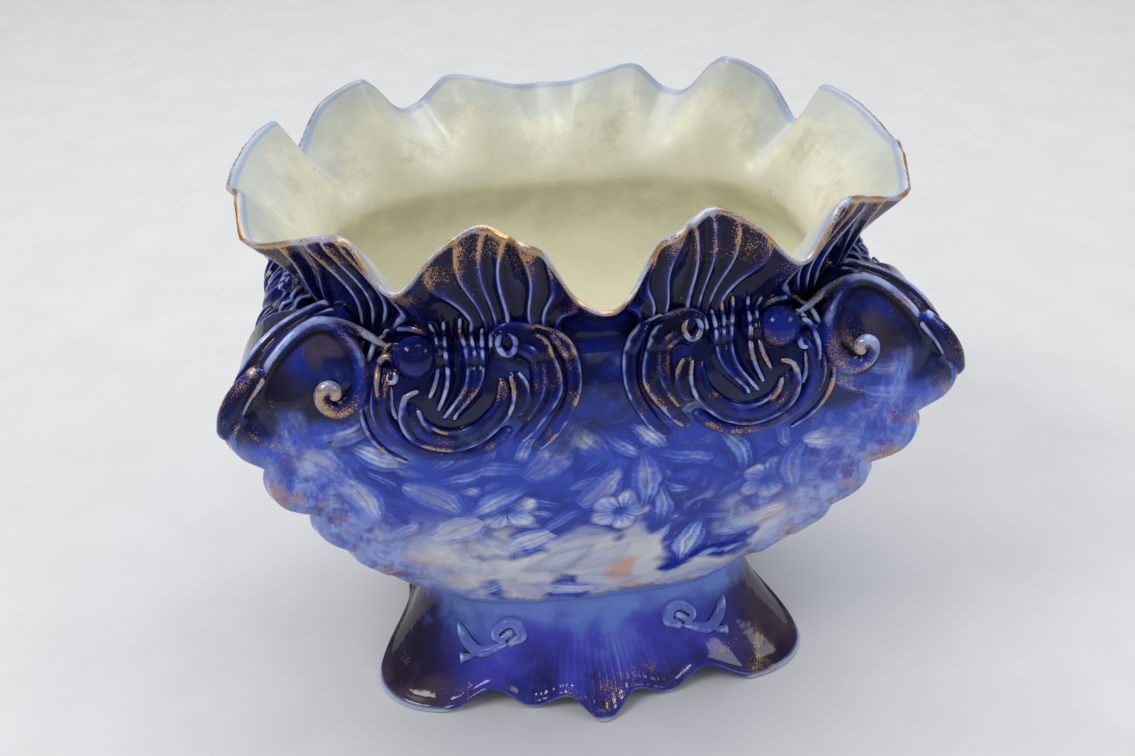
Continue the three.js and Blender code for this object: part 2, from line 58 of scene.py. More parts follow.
# middle of a cartouche along a long face, and the height of the painted shade inside its scrollwork, where
# the glaze also pools
CARTOUCHE_MIDDLE, SHADE_POOL_LEVEL = 59.0, 192.0


def plan_radius(angle, plan):
    side, face, corner_x, corner_y, squareness = plan
    along, over = np.abs(np.cos(angle)), np.abs(np.sin(angle))
    turn = np.maximum(over, 1e-6) / np.maximum(along, 1e-6) * corner_x / corner_y
    half_length = side + (corner_x - side) * np.minimum(1, turn) ** 2
    half_depth = face + (corner_y - face) * np.minimum(1, 1 / turn) ** 2
    return ((along / half_length) ** squareness + (over / half_depth) ** squareness) ** (-1 / squareness)


def mixed_plan(low, high, side_share, face_share):
    shares = (side_share, face_share, side_share, side_share, side_share)
    return [a + (b - a) * share for a, b, share in zip(low, high, shares)]


def flared_plan(z):
    """Plan of the flare from the waist to the belly, which bows out a little on its way."""
    climb = np.clip((z - WAIST) / (BELLY - WAIST), 0, 1)
    bow = climb * (1 - climb)
    return mixed_plan(waist_plan, belly_plan, climb + 0.4 * bow, climb + 0.8 * bow)


def bowl_radius(angle, z):
    rise = np.clip((z - BELLY) / (NECK - BELLY), 0, 1)
    share = 1 - np.sqrt(1 - rise**2)
    shoulder = mixed_plan(belly_plan, neck_plan, share, share)
    return plan_radius(angle, [np.where(z <= BELLY, a, b) for a, b in zip(flared_plan(z), shoulder)])


def cavity_radius(angle, z):
    plan = flared_plan(np.minimum(z, BELLY))
    plan[4] = neck_plan[4]
    closing = np.clip((z - BELLY + CLOSING) / (NECK - BELLY + CLOSING), 0, 1)
    closing = closing**2 * (3 - 2 * closing)
    wall = BOWL_WALL + (NECK_WALL - BOWL_WALL) * closing
    wide, narrow = plan_radius(angle, plan), plan_radius(angle, neck_plan)
    return wide + (narrow - wide) * closing - wall


def ring_points(angle, radius, z):
    return np.stack(np.broadcast_arrays(radius * np.cos(angle), radius * np.sin(angle), z), -1)


def turns(count):
    return np.linspace(0, 2 * math.pi, count, endpoint=False)[None, :]


def piece_from(name, points, faces):
    mesh = bpy.data.meshes.new(name)
    mesh.from_pydata((np.asarray(points, float) * MM).tolist(), [], faces)
    mesh.update()
    mesh.shade_smooth()
    piece = bpy.data.objects.new(name, mesh)
    bpy.context.scene.collection.objects.link(piece)
    return piece


def hoop(name, rings, joined=False):
    """Mesh through rings of points. It is closed by a face at each end, or runs back to its first ring."""
    rows, around = rings.shape[:2]
    index = np.arange(rows * around).reshape(rows, around)
    bands = np.vstack([index, index[:1]]) if joined else index
    low, high = bands[:-1], bands[1:]
    quads = np.stack([low, np.roll(low, -1, 1), np.roll(high, -1, 1), high], -1).reshape(-1, 4).tolist()
    if not joined:
        quads += [index[0][::-1].tolist(), index[-1].tolist()]
    return piece_from(name, rings.reshape(-1, 3), quads)


def glaze_inside(piece, around, row):
    """Puts the second glaze of a hoop on every band of faces from the given row on."""
    late = np.arange(len(piece.data.polygons)) // around >= row
    piece.data.polygons.foreach_set("material_index", late.astype(np.int32))


def mark(piece, name, values):
    attribute = piece.data.attributes.new(name, "FLOAT", "POINT")
    attribute.data.foreach_set("value", values.astype(np.float32))


def beside(rows, links):
    """Mean of the rows of numbers at the points that each point is linked to."""
    ends, starts = links
    share = np.maximum(np.bincount(ends, minlength=len(rows)), 1)
    return np.stack([np.bincount(ends, column[starts], len(rows)) / share for column in rows.T], -1)


def both_ways(pairs):
    return np.hstack([pairs.T, pairs.T[::-1]])


def mark_crests(piece, passes):
    """Keeps on each point how far it stands above the ground round it, in millimetres."""
    mesh = piece.data
    place, normal = np.empty((2, len(mesh.vertices) * 3))
    mesh.vertices.foreach_get("co", place)
    mesh.vertex_normals.foreach_get("vector", normal)
    place = place.reshape(-1, 3) / MM
    edge = np.empty(len(mesh.edges) * 2, np.int64)
    mesh.edges.foreach_get("vertices", edge)
    links = both_ways(edge.reshape(-1, 2))
    ground = place.copy()
    for _ in range(passes):
        ground = 0.4 * ground + 0.6 * beside(ground, links)
    crest = ((place - ground) * normal.reshape(-1, 3)).sum(1, keepdims=True)
    for _ in range(2):
        crest = 0.5 * crest + 0.5 * beside(crest, links)
    mark(piece, "crest", crest[:, 0])


class Value:
    """What comes out of a shader node. It adds, multiplies and the like as a number does."""

    def __init__(self, tree, socket):
        self.tree, self.socket = tree, socket

    def calc(self, operation, *others):
        return node(self.tree, "Math", 0, dict(enumerate((self, *others))), operation=operation)

    def __add__(self, other):
        return self.calc("ADD", other)

    def __sub__(self, other):
        return self.calc("SUBTRACT", other)

    def __rsub__(self, other):
        return node(self.tree, "Math", 0, {0: other, 1: self}, operation="SUBTRACT")

    def __mul__(self, other):
        return self.calc("MULTIPLY", other)

    def __truediv__(self, other):
        return self.calc("DIVIDE", other)

    def __abs__(self):
        return self.calc("ABSOLUTE")

    def larger(self, other):
        return self.calc("MAXIMUM", other)

    def vector(self, operation, other=None, output="Vector"):
        inputs = {0: self}
        if other is not None:
            inputs[3 if operation == "SCALE" else 1] = other
        return node(self.tree, "VectorMath", output, inputs, operation=operation)

    def split(self, kind="XYZ"):
        first = node(self.tree, f"Separate{kind}", 0, {0: self})
        return [Value(self.tree, output) for output in first.socket.node.outputs]

    def spread(self, low, high, start=0.0, end=1.0, kind="SMOOTHSTEP"):
        """The value carried from the range low to high to the range start to end, and held beyond it."""
        inputs = {"Value": self, "From Min": low, "From Max": high, "To Min": start, "To Max": end}
        return node(self.tree, "MapRange", "Result", inputs, interpolation_type=kind)

    def noise(self, scale, detail=3.0, roughness=0.55):
        inputs = {"Vector": self, "Scale": scale, "Detail": detail, "Roughness": roughness}
        return node(self.tree, "TexNoise", "Fac", inputs)


def feed(socket, value):
    """Links a value to a socket, or sets a number or a colour on the socket itself."""
    if isinstance(value, Value):
        value.tree.links.new(value.socket, socket)
    else:
        socket.default_value = (*value, 1) if socket.type == "RGBA" else value


def node(tree, kind, output, inputs=None, **settings):
    """Adds a shader node, feeds its inputs and gives the output that is asked for."""
    made = tree.nodes.new(f"ShaderNode{kind}")
    for key, value in settings.items():
        setattr(made, key, value)
    for key, value in (inputs or {}).items():
        feed(made.inputs[key], value)
    return Value(tree, made.outputs[output])


def blended(share, under, over):
    """Colour that goes from under to over as the share goes from 0 to 1."""
    tree = (share if isinstance(share, Value) else under).tree
    return node(tree, "Mix", 2, {0: share, 6: under, 7: over}, data_type="RGBA", clamp_factor=True)


def millimetres(tree):
    return node(tree, "TexCoord", "Object").vector("SCALE", 1 / MM)


def marked(tree, name):
    return node(tree, "Attribute", "Fac", attribute_name=name)


def new_group(name, output, kind, **inputs):
    """Node group with named inputs, numbers or colours: its tree, its inputs from inside, its way out."""
    tree = bpy.data.node_groups.new(name, "ShaderNodeTree")
    for key, value in inputs.items():
        socket_type = "NodeSocketFloat" if isinstance(value, float) else "NodeSocketColor"
        tree.interface.new_socket(key, in_out="INPUT", socket_type=socket_type).default_value = value
    tree.interface.new_socket(output, in_out="OUTPUT", socket_type=f"NodeSocket{kind}")
    start, end = tree.nodes.new("NodeGroupInput"), tree.nodes.new("NodeGroupOutput")
    return tree, [Value(tree, start.outputs[key]) for key in inputs], end.inputs[output]


def on_side_face(x, y):
    """1 on the two short sides of the pot and 0 on its long faces."""
    return (abs(x) / belly_plan[2]).calc("GREATER_THAN", abs(y) / belly_plan[3])


def from_corner(x, y):
    """Distance in plan from the upright plane through the nearest corner."""
    return abs(abs(x) * float(outward[1]) - abs(y) * float(outward[0]))


def net_of(flat, cell, shift, looseness):
    """A loose net with room for one motif in each cell: place within the cell, and chances for each cell."""
    place = flat.vector("ADD", (*shift, 0.0)).vector("SCALE", 1 / cell)
    inputs = {"Vector": place, "Scale": 1.0, "Randomness": looseness}
    middle = node(flat.tree, "TexVoronoi", "Position", inputs, voronoi_dimensions="2D")
    chance = Value(flat.tree, middle.socket.node.outputs["Color"]).split("Color")
    return place.vector("SUBTRACT", middle), chance


def scattered_leaves(flat, cell, length, width, shift):
    """One leaf in each cell of a loose net: the leaf, its light side, and its dark outline and vein."""
    place, chance = net_of(flat, cell, shift, 0.85)
    inputs = {"Vector": place, "Angle": chance[0] * (2 * math.pi)}
    along, aside, _ = node(flat.tree, "VectorRotate", 0, inputs, rotation_type="Z_AXIS").split()
    bent = along * along * 0.3 + aside
    reach = along / length
    half = (1.0 - reach * reach) * width
    off = abs(bent)
    depth = half - off
    body = depth.spread(-0.01, 0.08)
    rim = abs(depth).spread(0.04, 0.0) * 0.5
    streaks = (bent / half.larger(0.03) * 17.0).calc("SINE")
    vein = off.spread(0.022, 0.0) * body
    light = (depth / width).spread(0.05, 0.95)
    light = light * along.spread(length, -0.7 * length, 0.45, 1.15, "LINEAR")
    light = chance[1] * 0.9 + (streaks * 0.14 + light - 0.38)
    return body, light, rim.larger(vein * 0.7)


def scattered_blossoms(flat, cell, size, shift):
    """One open five-petalled blossom in each cell: the flower, its light, and its dark lines."""
    place, chance = net_of(flat, cell, shift, 0.7)
    x, y, _ = place.split()
    radius = (x * x + y * y).calc("SQRT")
    angle = chance[0] * 6.0 + y.calc("ARCTAN2", x) * 2.5
    petal = abs(angle.calc("COSINE"))
    depth = petal * (size * 0.3) + size * 0.7 - radius
    body = depth.spread(-0.01, 0.045)
    gap = petal.spread(0.3, 0.0) * body
    rays = (angle * 7.0).calc("SINE") * 0.12
    light = (radius / size).spread(0.0, 0.9, 0.25, 1.0) + rays
    rim = abs(depth).spread(0.03, 0.0) * 0.6
    heart = radius.spread(size * 0.3, size * 0.14)
    return body, light, rim.larger(gap).larger(heart)


COBALT = (0.008, 0.022, 0.32)
WASH = (0.044, 0.115, 0.72)
PALE = (0.27, 0.42, 0.98)
MILK = (0.84, 0.89, 0.97)
BARE_GLAZE = (0.84, 0.86, 0.88)
PEACH = (0.85, 0.60, 0.42)
STAIN = (0.022, 0.066, 0.56)
WAIST_BLUE = (0.16, 0.27, 0.76)
STREAK, PALE_STREAK, VIOLET = (0.045, 0.10, 0.68), (0.38, 0.50, 0.97), (0.09, 0.07, 0.38)


def flow_blue():
    """Blurred blue print of leaves and blossoms, laid flat on each of the four faces of the body."""
    tree, _, end = new_group("flow_blue_print", "Color", "Color")
    spot = millimetres(tree)
    x, y, z = spot.split()
    on_side = on_side_face(x, y)
    # every face shows a stretch of the print of its own, and its lines wander a little
    front = y.calc("GREATER_THAN", 0.0) * 400.0 + x
    along = (1.0 - on_side) * front + on_side * (y + 900.0)
    wander = node(tree, "TexNoise", "Color", {"Vector": spot, "Scale": 0.06, "Detail": 2.0})
    wander = wander.vector("SUBTRACT", (0.5, 0.5, 0.5)).vector("SCALE", 7.0)
    flat = node(tree, "CombineXYZ", 0, {0: along, 1: z}).vector("ADD", wander)
    smoke = spot.noise(0.10, 4.0, 0.6)
    color = blended(smoke.spread(0.40, 0.66), COBALT, WASH)
    bare = spot.noise(0.020).spread(0.40, 0.51) * z.spread(138.0, 88.0)
    color = blended(bare, color, BARE_GLAZE)
    color = blended(spot.noise(0.021, 1.0).spread(0.62, 0.70) * bare, color, PEACH)
    # the motifs from the lowest layer to the top one, and how much lighter each layer is
    layers = [
        (*scattered_leaves(flat, 16.0, 0.68, 0.30, (9.0, 31.0)), -0.42),
        (*scattered_leaves(flat, 22.0, 0.66, 0.28, (3.0, 7.0)), -0.34),
        (*scattered_leaves(flat, 31.0, 0.62, 0.28, (41.0, 12.0)), -0.16),
        (*scattered_blossoms(flat, 64.0, 0.22, (16.0, 23.0)), 0.0),
        (*scattered_leaves(flat, 44.0, 0.48, 0.22, (77.0, 50.0)), 0.12),
    ]
    thin = 1.0 - bare * 0.8
    grain = spot.noise(0.45, 3.0, 0.7) * 0.7 - 0.35
    for body, light, lines, lighter in layers:
        light = light + grain + lighter
        leaf = blended(light.spread(-0.15, 0.5), COBALT, WASH)
        leaf = blended(light.spread(0.1, 0.7), leaf, PALE)
        leaf = blended(light.spread(0.5, 1.1), leaf, MILK)
        color = blended(body * (0.95 - bare * (0.60 - 0.9 * min(lighter, 0))), color, leaf)
        color = blended(lines * (thin * 0.72), color, COBALT)
    # the glaze has run, and carries the blue in dark clouds over the print, more of it higher up
    cover = spot.noise(0.035, 4.0, 0.65).spread(0.36, 0.58) * z.spread(60.0, 168.0, 0.12, 0.92)
    color = blended(cover * thin, color, STAIN)
    # towards the corners the print is washed over with pale streaks that have run down with the glaze
    run = spot.vector("MULTIPLY", (0.15, 0.15, 0.045)).noise(1.0, 6.0, 0.72)
    run = (run - z.spread(110.0, 178.0, 0.0, 0.13)).spread(0.30, 0.58)
    washed = blended(run, STREAK, PALE_STREAK)
    washed = blended(smoke.spread(0.50, 0.64, 0.0, 0.85), washed, VIOLET)
    by_corner = (smoke * 16.0 + from_corner(x, y)).spread(34.0, 14.0, 0.0, 0.85)
    color = blended(by_corner, color, washed)
    # the print ends raggedly above the waist, where the glaze runs on plain
    ragged = spot.noise(0.09, 4.0, 0.65) * 26.0 + z
    color = blended(ragged.spread(68.0, 62.0) * 0.6, color, COBALT)
    feed(end, blended(ragged.spread(62.0, 57.0), color, WAIST_BLUE))
    return tree


flow_blue_print = flow_blue()


def gold_sponge():
    """Specks of gold dabbed on with a sponge: more specks where Amount is higher."""
    tree, (amount,), end = new_group("gold_sponge", "Mask", "Float", Amount=0.0)
    spot = millimetres(tree)
    level = amount * -0.30 + 0.76 + spot.noise(0.07, 2.0).spread(0.35, 0.65, 0.09, -0.07)
    mask = (spot.noise(1.7, 2.0, 0.7) - level).spread(0.0, 0.04)
    feed(end, mask * amount.spread(0.0, 0.05))
    return tree


gold_specks = gold_sponge()

# colours of the cobalt where it lies deep, where lustre tints it, in its hollows (pooled glaze and painted
# shade), and on swells and ridges (thinner glaze and painted highlight)
POOLED, DEEP_BLUE = (0.003, 0.004, 0.030), (0.007, 0.019, 0.25)
PLUM, ROSE_BRONZE = (0.016, 0.010, 0.035), (0.060, 0.038, 0.060)
HOLLOW_POOL_AND_SHADE, SWELL, RIDGE_PALE_AND_HIGHLIGHT = (0.002, 0.002, 0.014), (0.016, 0.036, 0.50), (0.42, 0.53, 0.82)


def pooled_and_shaded_cobalt():
    """Cobalt glaze over relief: near black in hollows, where it pools and where shade is painted, and pale
    blue on swells and ridges, where it breaks thin and where highlight is painted.
    """
    inputs = {"Under": (*COBALT, 1), "Depth": 1.0, "Crest": 0.0, "Lustre": 0.0}
    tree, (under, depth, crest, lustre), end = new_group("pooled_and_shaded_cobalt", "Color", "Color", **inputs)
    spot = millimetres(tree)
    deep = blended(spot.noise(0.055).spread(0.38, 0.68), POOLED, DEEP_BLUE)
    purple = blended(spot.noise(0.035, 2.0).spread(0.4, 0.6), PLUM, ROSE_BRONZE)
    color = blended(depth, under, blended(lustre, deep, purple))
    # painted shade in the hollows, over the glaze that pools there
    color = blended(crest.spread(0.0, -0.14) * 0.92, color, HOLLOW_POOL_AND_SHADE)
    # swells made lighter, partly for the thinner glaze and partly as painted light
    color = blended(crest.spread(0.04, 0.30) * 0.5, color, SWELL)
    # painted highlight on the ridges, over the glaze that breaks pale there
    thick = spot.noise(0.12).spread(0.34, 0.6, 0.45, 0.95)
    feed(end, blended(crest.spread(0.19, 0.33) * thick, color, RIDGE_PALE_AND_HIGHLIGHT))
    return tree


cobalt_over_relief = pooled_and_shaded_cobalt()


def printed(tree):
    return node(tree, "Group", "Color", node_tree=flow_blue_print)


def over_relief(tree, **inputs):
    return node(tree, "Group", "Color", inputs, node_tree=cobalt_over_relief)


def gilded(amount):
    return node(amount.tree, "Group", "Mask", {"Amount": amount}, node_tree=gold_specks)


GOLD = (0.62, 0.36, 0.13)


def glaze(name, slot_color, satin=0.07, glare=0.36):
    """A material with its own shader. slot_color(tree) gives its colour and, if gilded, its gold mask."""
    material = bpy.data.materials.new(name)
    material.use_nodes = True
    tree = material.node_tree
    shader = tree.nodes["Principled BSDF"]
    color, gold = slot_color(tree)
    spot = millimetres(tree)
    ripple = node(tree, "Bump", 0, {"Height": spot.noise(0.09, 2.0), "Strength": 0.35, "Distance": 0.0012})
    rough = spot.noise(0.03).spread(0.3, 0.7, satin, satin + 0.06)
    if gold is not None:
        color = blended(gold, color, GOLD)
        feed(shader.inputs["Metallic"], gold.spread(0.0, 1.0, 0.0, 0.85, "LINEAR"))
        rough = gold * 0.26 + rough
    feed(shader.inputs["Base Color"], color)
    feed(shader.inputs["Roughness"], rough)
    feed(shader.inputs["Normal"], ripple)
    shader.inputs["Specular IOR Level"].default_value = glare
    return material


def bowl_glaze(tree):
    spot = millimetres(tree)
    x, y, z = spot.split()
    height = z + spot.noise(0.05).spread(0.3, 0.7, -16.0, 16.0)
    deep = height.spread(150.0, 196.0) * 0.95
    color = over_relief(tree, Under=printed(tree), Depth=deep, Crest=0.0)
    # painted shade: the bowl is darkened nearly black inside the scrollwork, where the glaze also pools
    on_side = on_side_face(x, y)
    off_middle = (1.0 - on_side) * (abs(x) - CARTOUCHE_MIDDLE) + on_side * y
    off_shade_pool = node(tree, "CombineXYZ", 0, {0: off_middle, 1: z - SHADE_POOL_LEVEL})
    off_shade_pool = off_shade_pool.vector("LENGTH", output="Value")
    color = blended(off_shade_pool.spread(27.0, 13.0, 0.0, 0.88), color, (0.003, 0.004, 0.040))
    return color, gilded(abs(x).spread(118.0, 146.0) * 0.1)


CREAM, DUSKY_CREAM, LIT_FLOOR_CREAM = (0.80, 0.78, 0.64), (0.71, 0.70, 0.57), (0.93, 0.91, 0.76)
OLIVE_SHADE, BROWN_STAIN, BLUE_SMUDGE = (0.36, 0.35, 0.22), (0.44, 0.39, 0.25), (0.10, 0.14, 0.35)


def cream(tree):
    spot = millimetres(tree)
    z = spot.split()[2]
    cloudy = spot.noise(0.03, 4.0, 0.6)
    color = blended(cloudy.spread(0.35, 0.65), CREAM, DUSKY_CREAM)
    # painted light: the cream is made lighter towards the floor of the bowl
    color = blended(z.spread(170.0, 120.0, 0.0, 0.9), color, LIT_FLOOR_CREAM)
    # painted shadow: an olive band on the inside wall just under the neck ring
    shade = z.spread(202.0, 194.0) * z.spread(158.0, 190.0) * cloudy.spread(0.25, 0.6, 0.4, 1.0)
    color = blended(shade * 0.55, color, OLIVE_SHADE)
    stain = spot.noise(0.045, 5.0, 0.7).spread(0.46, 0.68) * z.spread(205.0, 222.0)
    color = blended(stain * 0.5, color, BROWN_STAIN)
    smudge = spot.noise(0.06, 2.0).spread(0.76, 0.82)
    return blended(smudge * 0.8, color, BLUE_SMUDGE), None


BOWL_AROUND = 420
angles = turns(BOWL_AROUND)
shoulder_z = BELLY + (NECK - BELLY) * np.sin(np.linspace(0, math.pi / 2, 26)[1:])
outer_z = np.concatenate([np.linspace(WAIST, BELLY, 60), shoulder_z])[:, None]
outer_rings = ring_points(angles, bowl_radius(angles, outer_z), outer_z)
inner_z = np.linspace(NECK, FLOOR, 56)[:, None]
inner_rings = ring_points(angles, cavity_radius(angles, inner_z), inner_z)
floor_rings = np.concatenate([inner_rings[-1:] * (share, share, 1) for share in (0.985, 0.95, 0.6, 0.2)])
# the bowl's underside is tucked into the foot
tucked = outer_rings[:1] * (0.995, 0.995, 1) - (0, 0, 0.25)
under = tucked * (0.3, 0.3, 1)
bowl = hoop("glazed_bowl", np.concatenate([under, tucked, outer_rings, inner_rings, floor_rings]))
bowl.data.materials.append(glaze("flow_blue_glaze", bowl_glaze))
bowl.data.materials.append(glaze("cream_glaze", cream, 0.3))
glaze_inside(bowl, BOWL_AROUND, len(outer_rings) + 1)
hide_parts("bowl")
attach(bowl, "root")

# The ruffled rim: a collar of the same casting, pinched by hand into deep ruffles while the clay was soft.
# Its outside is combed into fine folds that run down into the neck, and its lip is wiped pale and gilded.
RIM_HEIGHT, LIP_WALL, FLARE_CURL = 54.0, 3.6, 1.7
# plan angle, lean of the lip, fall of the lip, from the middle of a side to the middle of a long face
front_ruffles = (
    (0, 31, 14), (12, 25, 7), (21, 26, 17), (30, 16, 12), (39, 18, 4),
    (45, 22, 3), (51, 21, 22), (57, 12, 8), (63, 6, 1), (69, 9, 3),
    (75, 18, 4), (78, 14, 10), (84, 18, 26), (90, 29, 27),
)
back_ruffles = (
    (0, 31, 14), (12, 27, 9), (21, 22, 7), (24, 25, 14), (30, 28, 32),
    (36, 24, 12), (42, 15, 2), (48, 24, 8), (54, 27, 23), (60, 32, 24),
    (66, 28, 11), (72, 19, 10), (81, 19, 15), (90, 29, 19),
)


def quarter_degrees(angle):
    return np.degrees(np.arcsin(np.clip(np.abs(np.sin(angle)), 0, 1)))


def quarter_curve(stations, column):
    """Smooth curve through the stations of one quarter, mirrored into the other quarters."""
    table = [(-stations[1][0], *stations[1][1:]), *stations, (180 - stations[-2][0], *stations[-2][1:])]
    at = np.array([row[0] for row in table], float)
    value = np.array([row[column] for row in table], float)
    slope = (value[2:] - value[:-2]) / (at[2:] - at[:-2])

    def curve(angle):
        degrees = quarter_degrees(angle)
        low = np.clip(np.searchsorted(at, degrees, side="right") - 1, 1, len(at) - 3)
        span = at[low + 1] - at[low]
        t = (degrees - at[low]) / span
        start, end = slope[low - 1] * span, slope[low] * span
        return (
            (2 * t**3 - 3 * t**2 + 1) * value[low]
            + (t**3 - 2 * t**2 + t) * start
            + (3 * t**2 - 2 * t**3) * value[low + 1]
            + (t**3 - t**2) * end
        )

    return curve


def ruffle(column):
    front, back = quarter_curve(front_ruffles, column), quarter_curve(back_ruffles, column)
    return lambda angle: np.where(np.sin(angle) < 0, front(angle), back(angle))


lip_lean, lip_drop = ruffle(1), ruffle(2)


def rim_radius(angle, z):
    climb = np.clip((z - NECK) / (RIM_HEIGHT - lip_drop(angle)), 0, 1)
    return plan_radius(angle, neck_plan) + lip_lean(angle) * climb**FLARE_CURL


# fans of ridges on the outside of the collar: plan angle of the ruffle, half its width, and ridges in it
front_fans = ((0, 5, 2), (13, 7, 3), (27, 6, 3), (42, 7.5, 4), (62.5, 7.5, 4), (78, 6, 3))
back_fans = ((0, 5, 2), (13, 8, 4), (41, 9, 5), (69, 9, 5), (86, 5, 2))


def fan_height(fans, degrees, climb, radius):
    ridges = []
    for middle, width, count in fans:
        for share in np.linspace(-1, 1, count):
            foot = middle + share * width * 0.32
            sway = 1.9 * np.sin(2.1 * math.pi * climb**0.8 + middle) * (1 - 0.5 * climb)
            lean = share * width * 0.62 * climb**0.75 + sway
            gap = np.radians(degrees - foot - lean) * radius
            tall = 0.8 + 0.2 * math.sin(9 * share + middle)
            steep = np.where(gap * (1 if share > 0 else -1) > 0, 1.3, 3.8)
            ridges.append(tall * (0.5 * np.exp(-((gap / 0.9) ** 2)) + 2.4 * np.exp(-((gap / steep) ** 2))))
    return np.max(ridges, axis=0)


def folds(angle, climb, radius):
    """Height of the folds: in every ruffle a fan of narrow ridges springs from the neck and curls out."""
    degrees = quarter_degrees(angle)
    front, back = [fan_height(fans, degrees, climb, radius) for fans in (front_fans, back_fans)]
    grow = np.clip(0.2 + climb * 3.0, 0, 1) * (1 - 0.3 * climb)
    return np.where(np.sin(angle) < 0, front, back) * grow


RIM_AROUND = 1080
angles = turns(RIM_AROUND)
climbs = np.linspace(0, 1, 52)[:, None]
top = RIM_HEIGHT - lip_drop(angles)
z = NECK + climbs * top
bare = plan_radius(angles, neck_plan) + lip_lean(angles) * climbs**FLARE_CURL
ridged = folds(angles, climbs, bare)
skirt = 2.4 * np.exp(-np.maximum(z - NECK, 0) / 2.4)
# the ridges die away just under the lip
ridges_out = ridged * np.clip((1.04 - climbs) * 7, 0, 1)
outer = ring_points(angles, bare + skirt + ridges_out, z + 0.4 * (1 - climbs))
# the collar's hem lies just proud of the bowl's shoulder: depth below the neck, and height off the bowl
HEM = ((3.2, -0.4), (2.4, 0.15), (1.2, 0.9))
hem = [ring_points(angles, bowl_radius(angles, NECK - drop) + lift, NECK - drop) for drop, lift in HEM]
hidden = np.concatenate([ring_points(angles, plan_radius(angles, neck_plan) - 1.2, NECK - 4.5), *hem])
walls = NECK_WALL + (LIP_WALL - NECK_WALL) * climbs
inner = ring_points(angles, bare - walls + 0.3 * ridged * climbs * (1.1 - climbs), z)[::-3]
tail_z = NECK - np.array([1.0, 2.5, 4.0, 5.5, 7.0])[:, None]
proud = np.array([0.12, 0.12, 0.12, 0.12, -0.3])[:, None]
inner = np.concatenate([inner, ring_points(angles, cavity_radius(angles, tail_z) - proud, tail_z)])
# share of the way over the lip, and height of its round edge
LIP_ROUND = ((0.22, 0.8), (0.5, 1.1), (0.78, 0.8))
lips = [(1 - share) * outer[-1:] + share * inner[:1] + (0, 0, lift) for share, lift in LIP_ROUND]
rim = hoop("ruffled_collar", np.concatenate([hidden, outer, *lips, inner]), joined=True)
mark_crests(rim, 9)


def rim_glaze(tree):
    spot = millimetres(tree)
    z, lip, crest = spot.split()[2], marked(tree, "from_lip"), marked(tree, "crest")
    color = over_relief(tree, Under=COBALT, Depth=0.92, Crest=crest * z.spread(206.0, 213.0), Lustre=0.2)
    # painted shade: the hollows between the folds go near black, over the glaze that pools in them
    pooled_shade = crest.spread(0.14, 0.0) * spot.noise(0.06, 2.0).spread(0.36, 0.56, 0.3, 0.9)
    color = blended(pooled_shade, color, (0.004, 0.004, 0.030))
    edge = (spot.noise(0.12) * 2.5 + lip).spread(3.2, 0.8)
    color = blended(edge, color, (0.46, 0.58, 0.80))
    return color, gilded(lip.spread(32.0, 4.0) * crest.spread(-0.15, 0.3, 0.3, 1.1))


def rim_inside(tree):
    color, _ = cream(tree)
    lip = marked(tree, "from_lip")
    ragged = millimetres(tree).noise(0.08, 4.0, 0.65) * 26.0 + (lip - 13.0)
    color = blended(ragged.spread(22.0, -2.0), color, (0.54, 0.57, 0.54))
    color = blended(ragged.spread(0.0, -10.0, 0.0, 0.6), color, (0.34, 0.45, 0.66))
    color = blended(lip.spread(1.2, 0.1, 0.0, 0.5), color, (0.24, 0.35, 0.62))
    return color, gilded(lip.spread(4.0, 0.0, 0.0, 0.3))


# distance of each ring from the lip; the rings out of sight count as far away
FAR_FROM_LIP = 60.0
below_lip = (1 - climbs) * top
far_rings = [np.full((len(rings), 1), FAR_FROM_LIP) for rings in (hidden, tail_z)]
rows = [far_rings[0], below_lip, np.zeros((len(lips), 1)), below_lip[::-3], far_rings[1]]
mark(rim, "from_lip", np.concatenate([np.broadcast_to(row, (len(row), RIM_AROUND)) for row in rows]).ravel())
rim.data.materials.append(glaze("rim_cobalt", rim_glaze, glare=0.24))
rim.data.materials.append(glaze("rim_cream", rim_inside, 0.26))
glaze_inside(rim, RIM_AROUND, len(hidden) + len(outer) + 1)
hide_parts("ruffled_rim")
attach(rim, "root")

# The foot: a hollow spreading base of the same casting. Its four corners run out into dished wings with
# turned-up edges, and small points hang between them down to the table.
FOOT_WALL, FOOT_CURL = 6.0, 1.6
# plan angle, reach of the sole, and its lift above the table, from the middle of a side to a long face's
sole_stations = (
    (0, 90, 6), (12, 95, 9), (26, 118, 0), (36, 121, 0), (47, 111, 0),
    (57, 95, 10), (68, 91, 1), (80, 89, 8), (90, 98, 0),
)
sole_reach, sole_lift = quarter_curve(sole_stations, 1), quarter_curve(sole_stations, 2)


def foot_radius(angle, fall):
    waist = plan_radius(angle, waist_plan)
    return waist + (sole_reach(angle) - waist) * fall**FOOT_CURL


def foot_rings(angle, fall, wall=0.0):
    low = np.maximum(0, sole_lift(angle))
    return ring_points(angle, foot_radius(angle, fall) - wall, WAIST + (low - WAIST) * fall)


def gadroons(angle, fall):
    """Fine upright ribs on the lower half of the foot, strongest in the middle of a face, and its edge."""
    face = np.clip(1.5 - np.abs(np.cos(angle)) * 3.0, 0, 1)
    rib = np.abs(np.sin(angle * 74 + 0.4 * np.sin(angle * 13)))
    edge = 1.5 * np.exp(-(((fall - 0.97) / 0.045) ** 2))
    return rib * face * np.sin(np.clip(fall * 1.5 - 0.5, 0, 1) * math.pi) ** 0.8 + edge


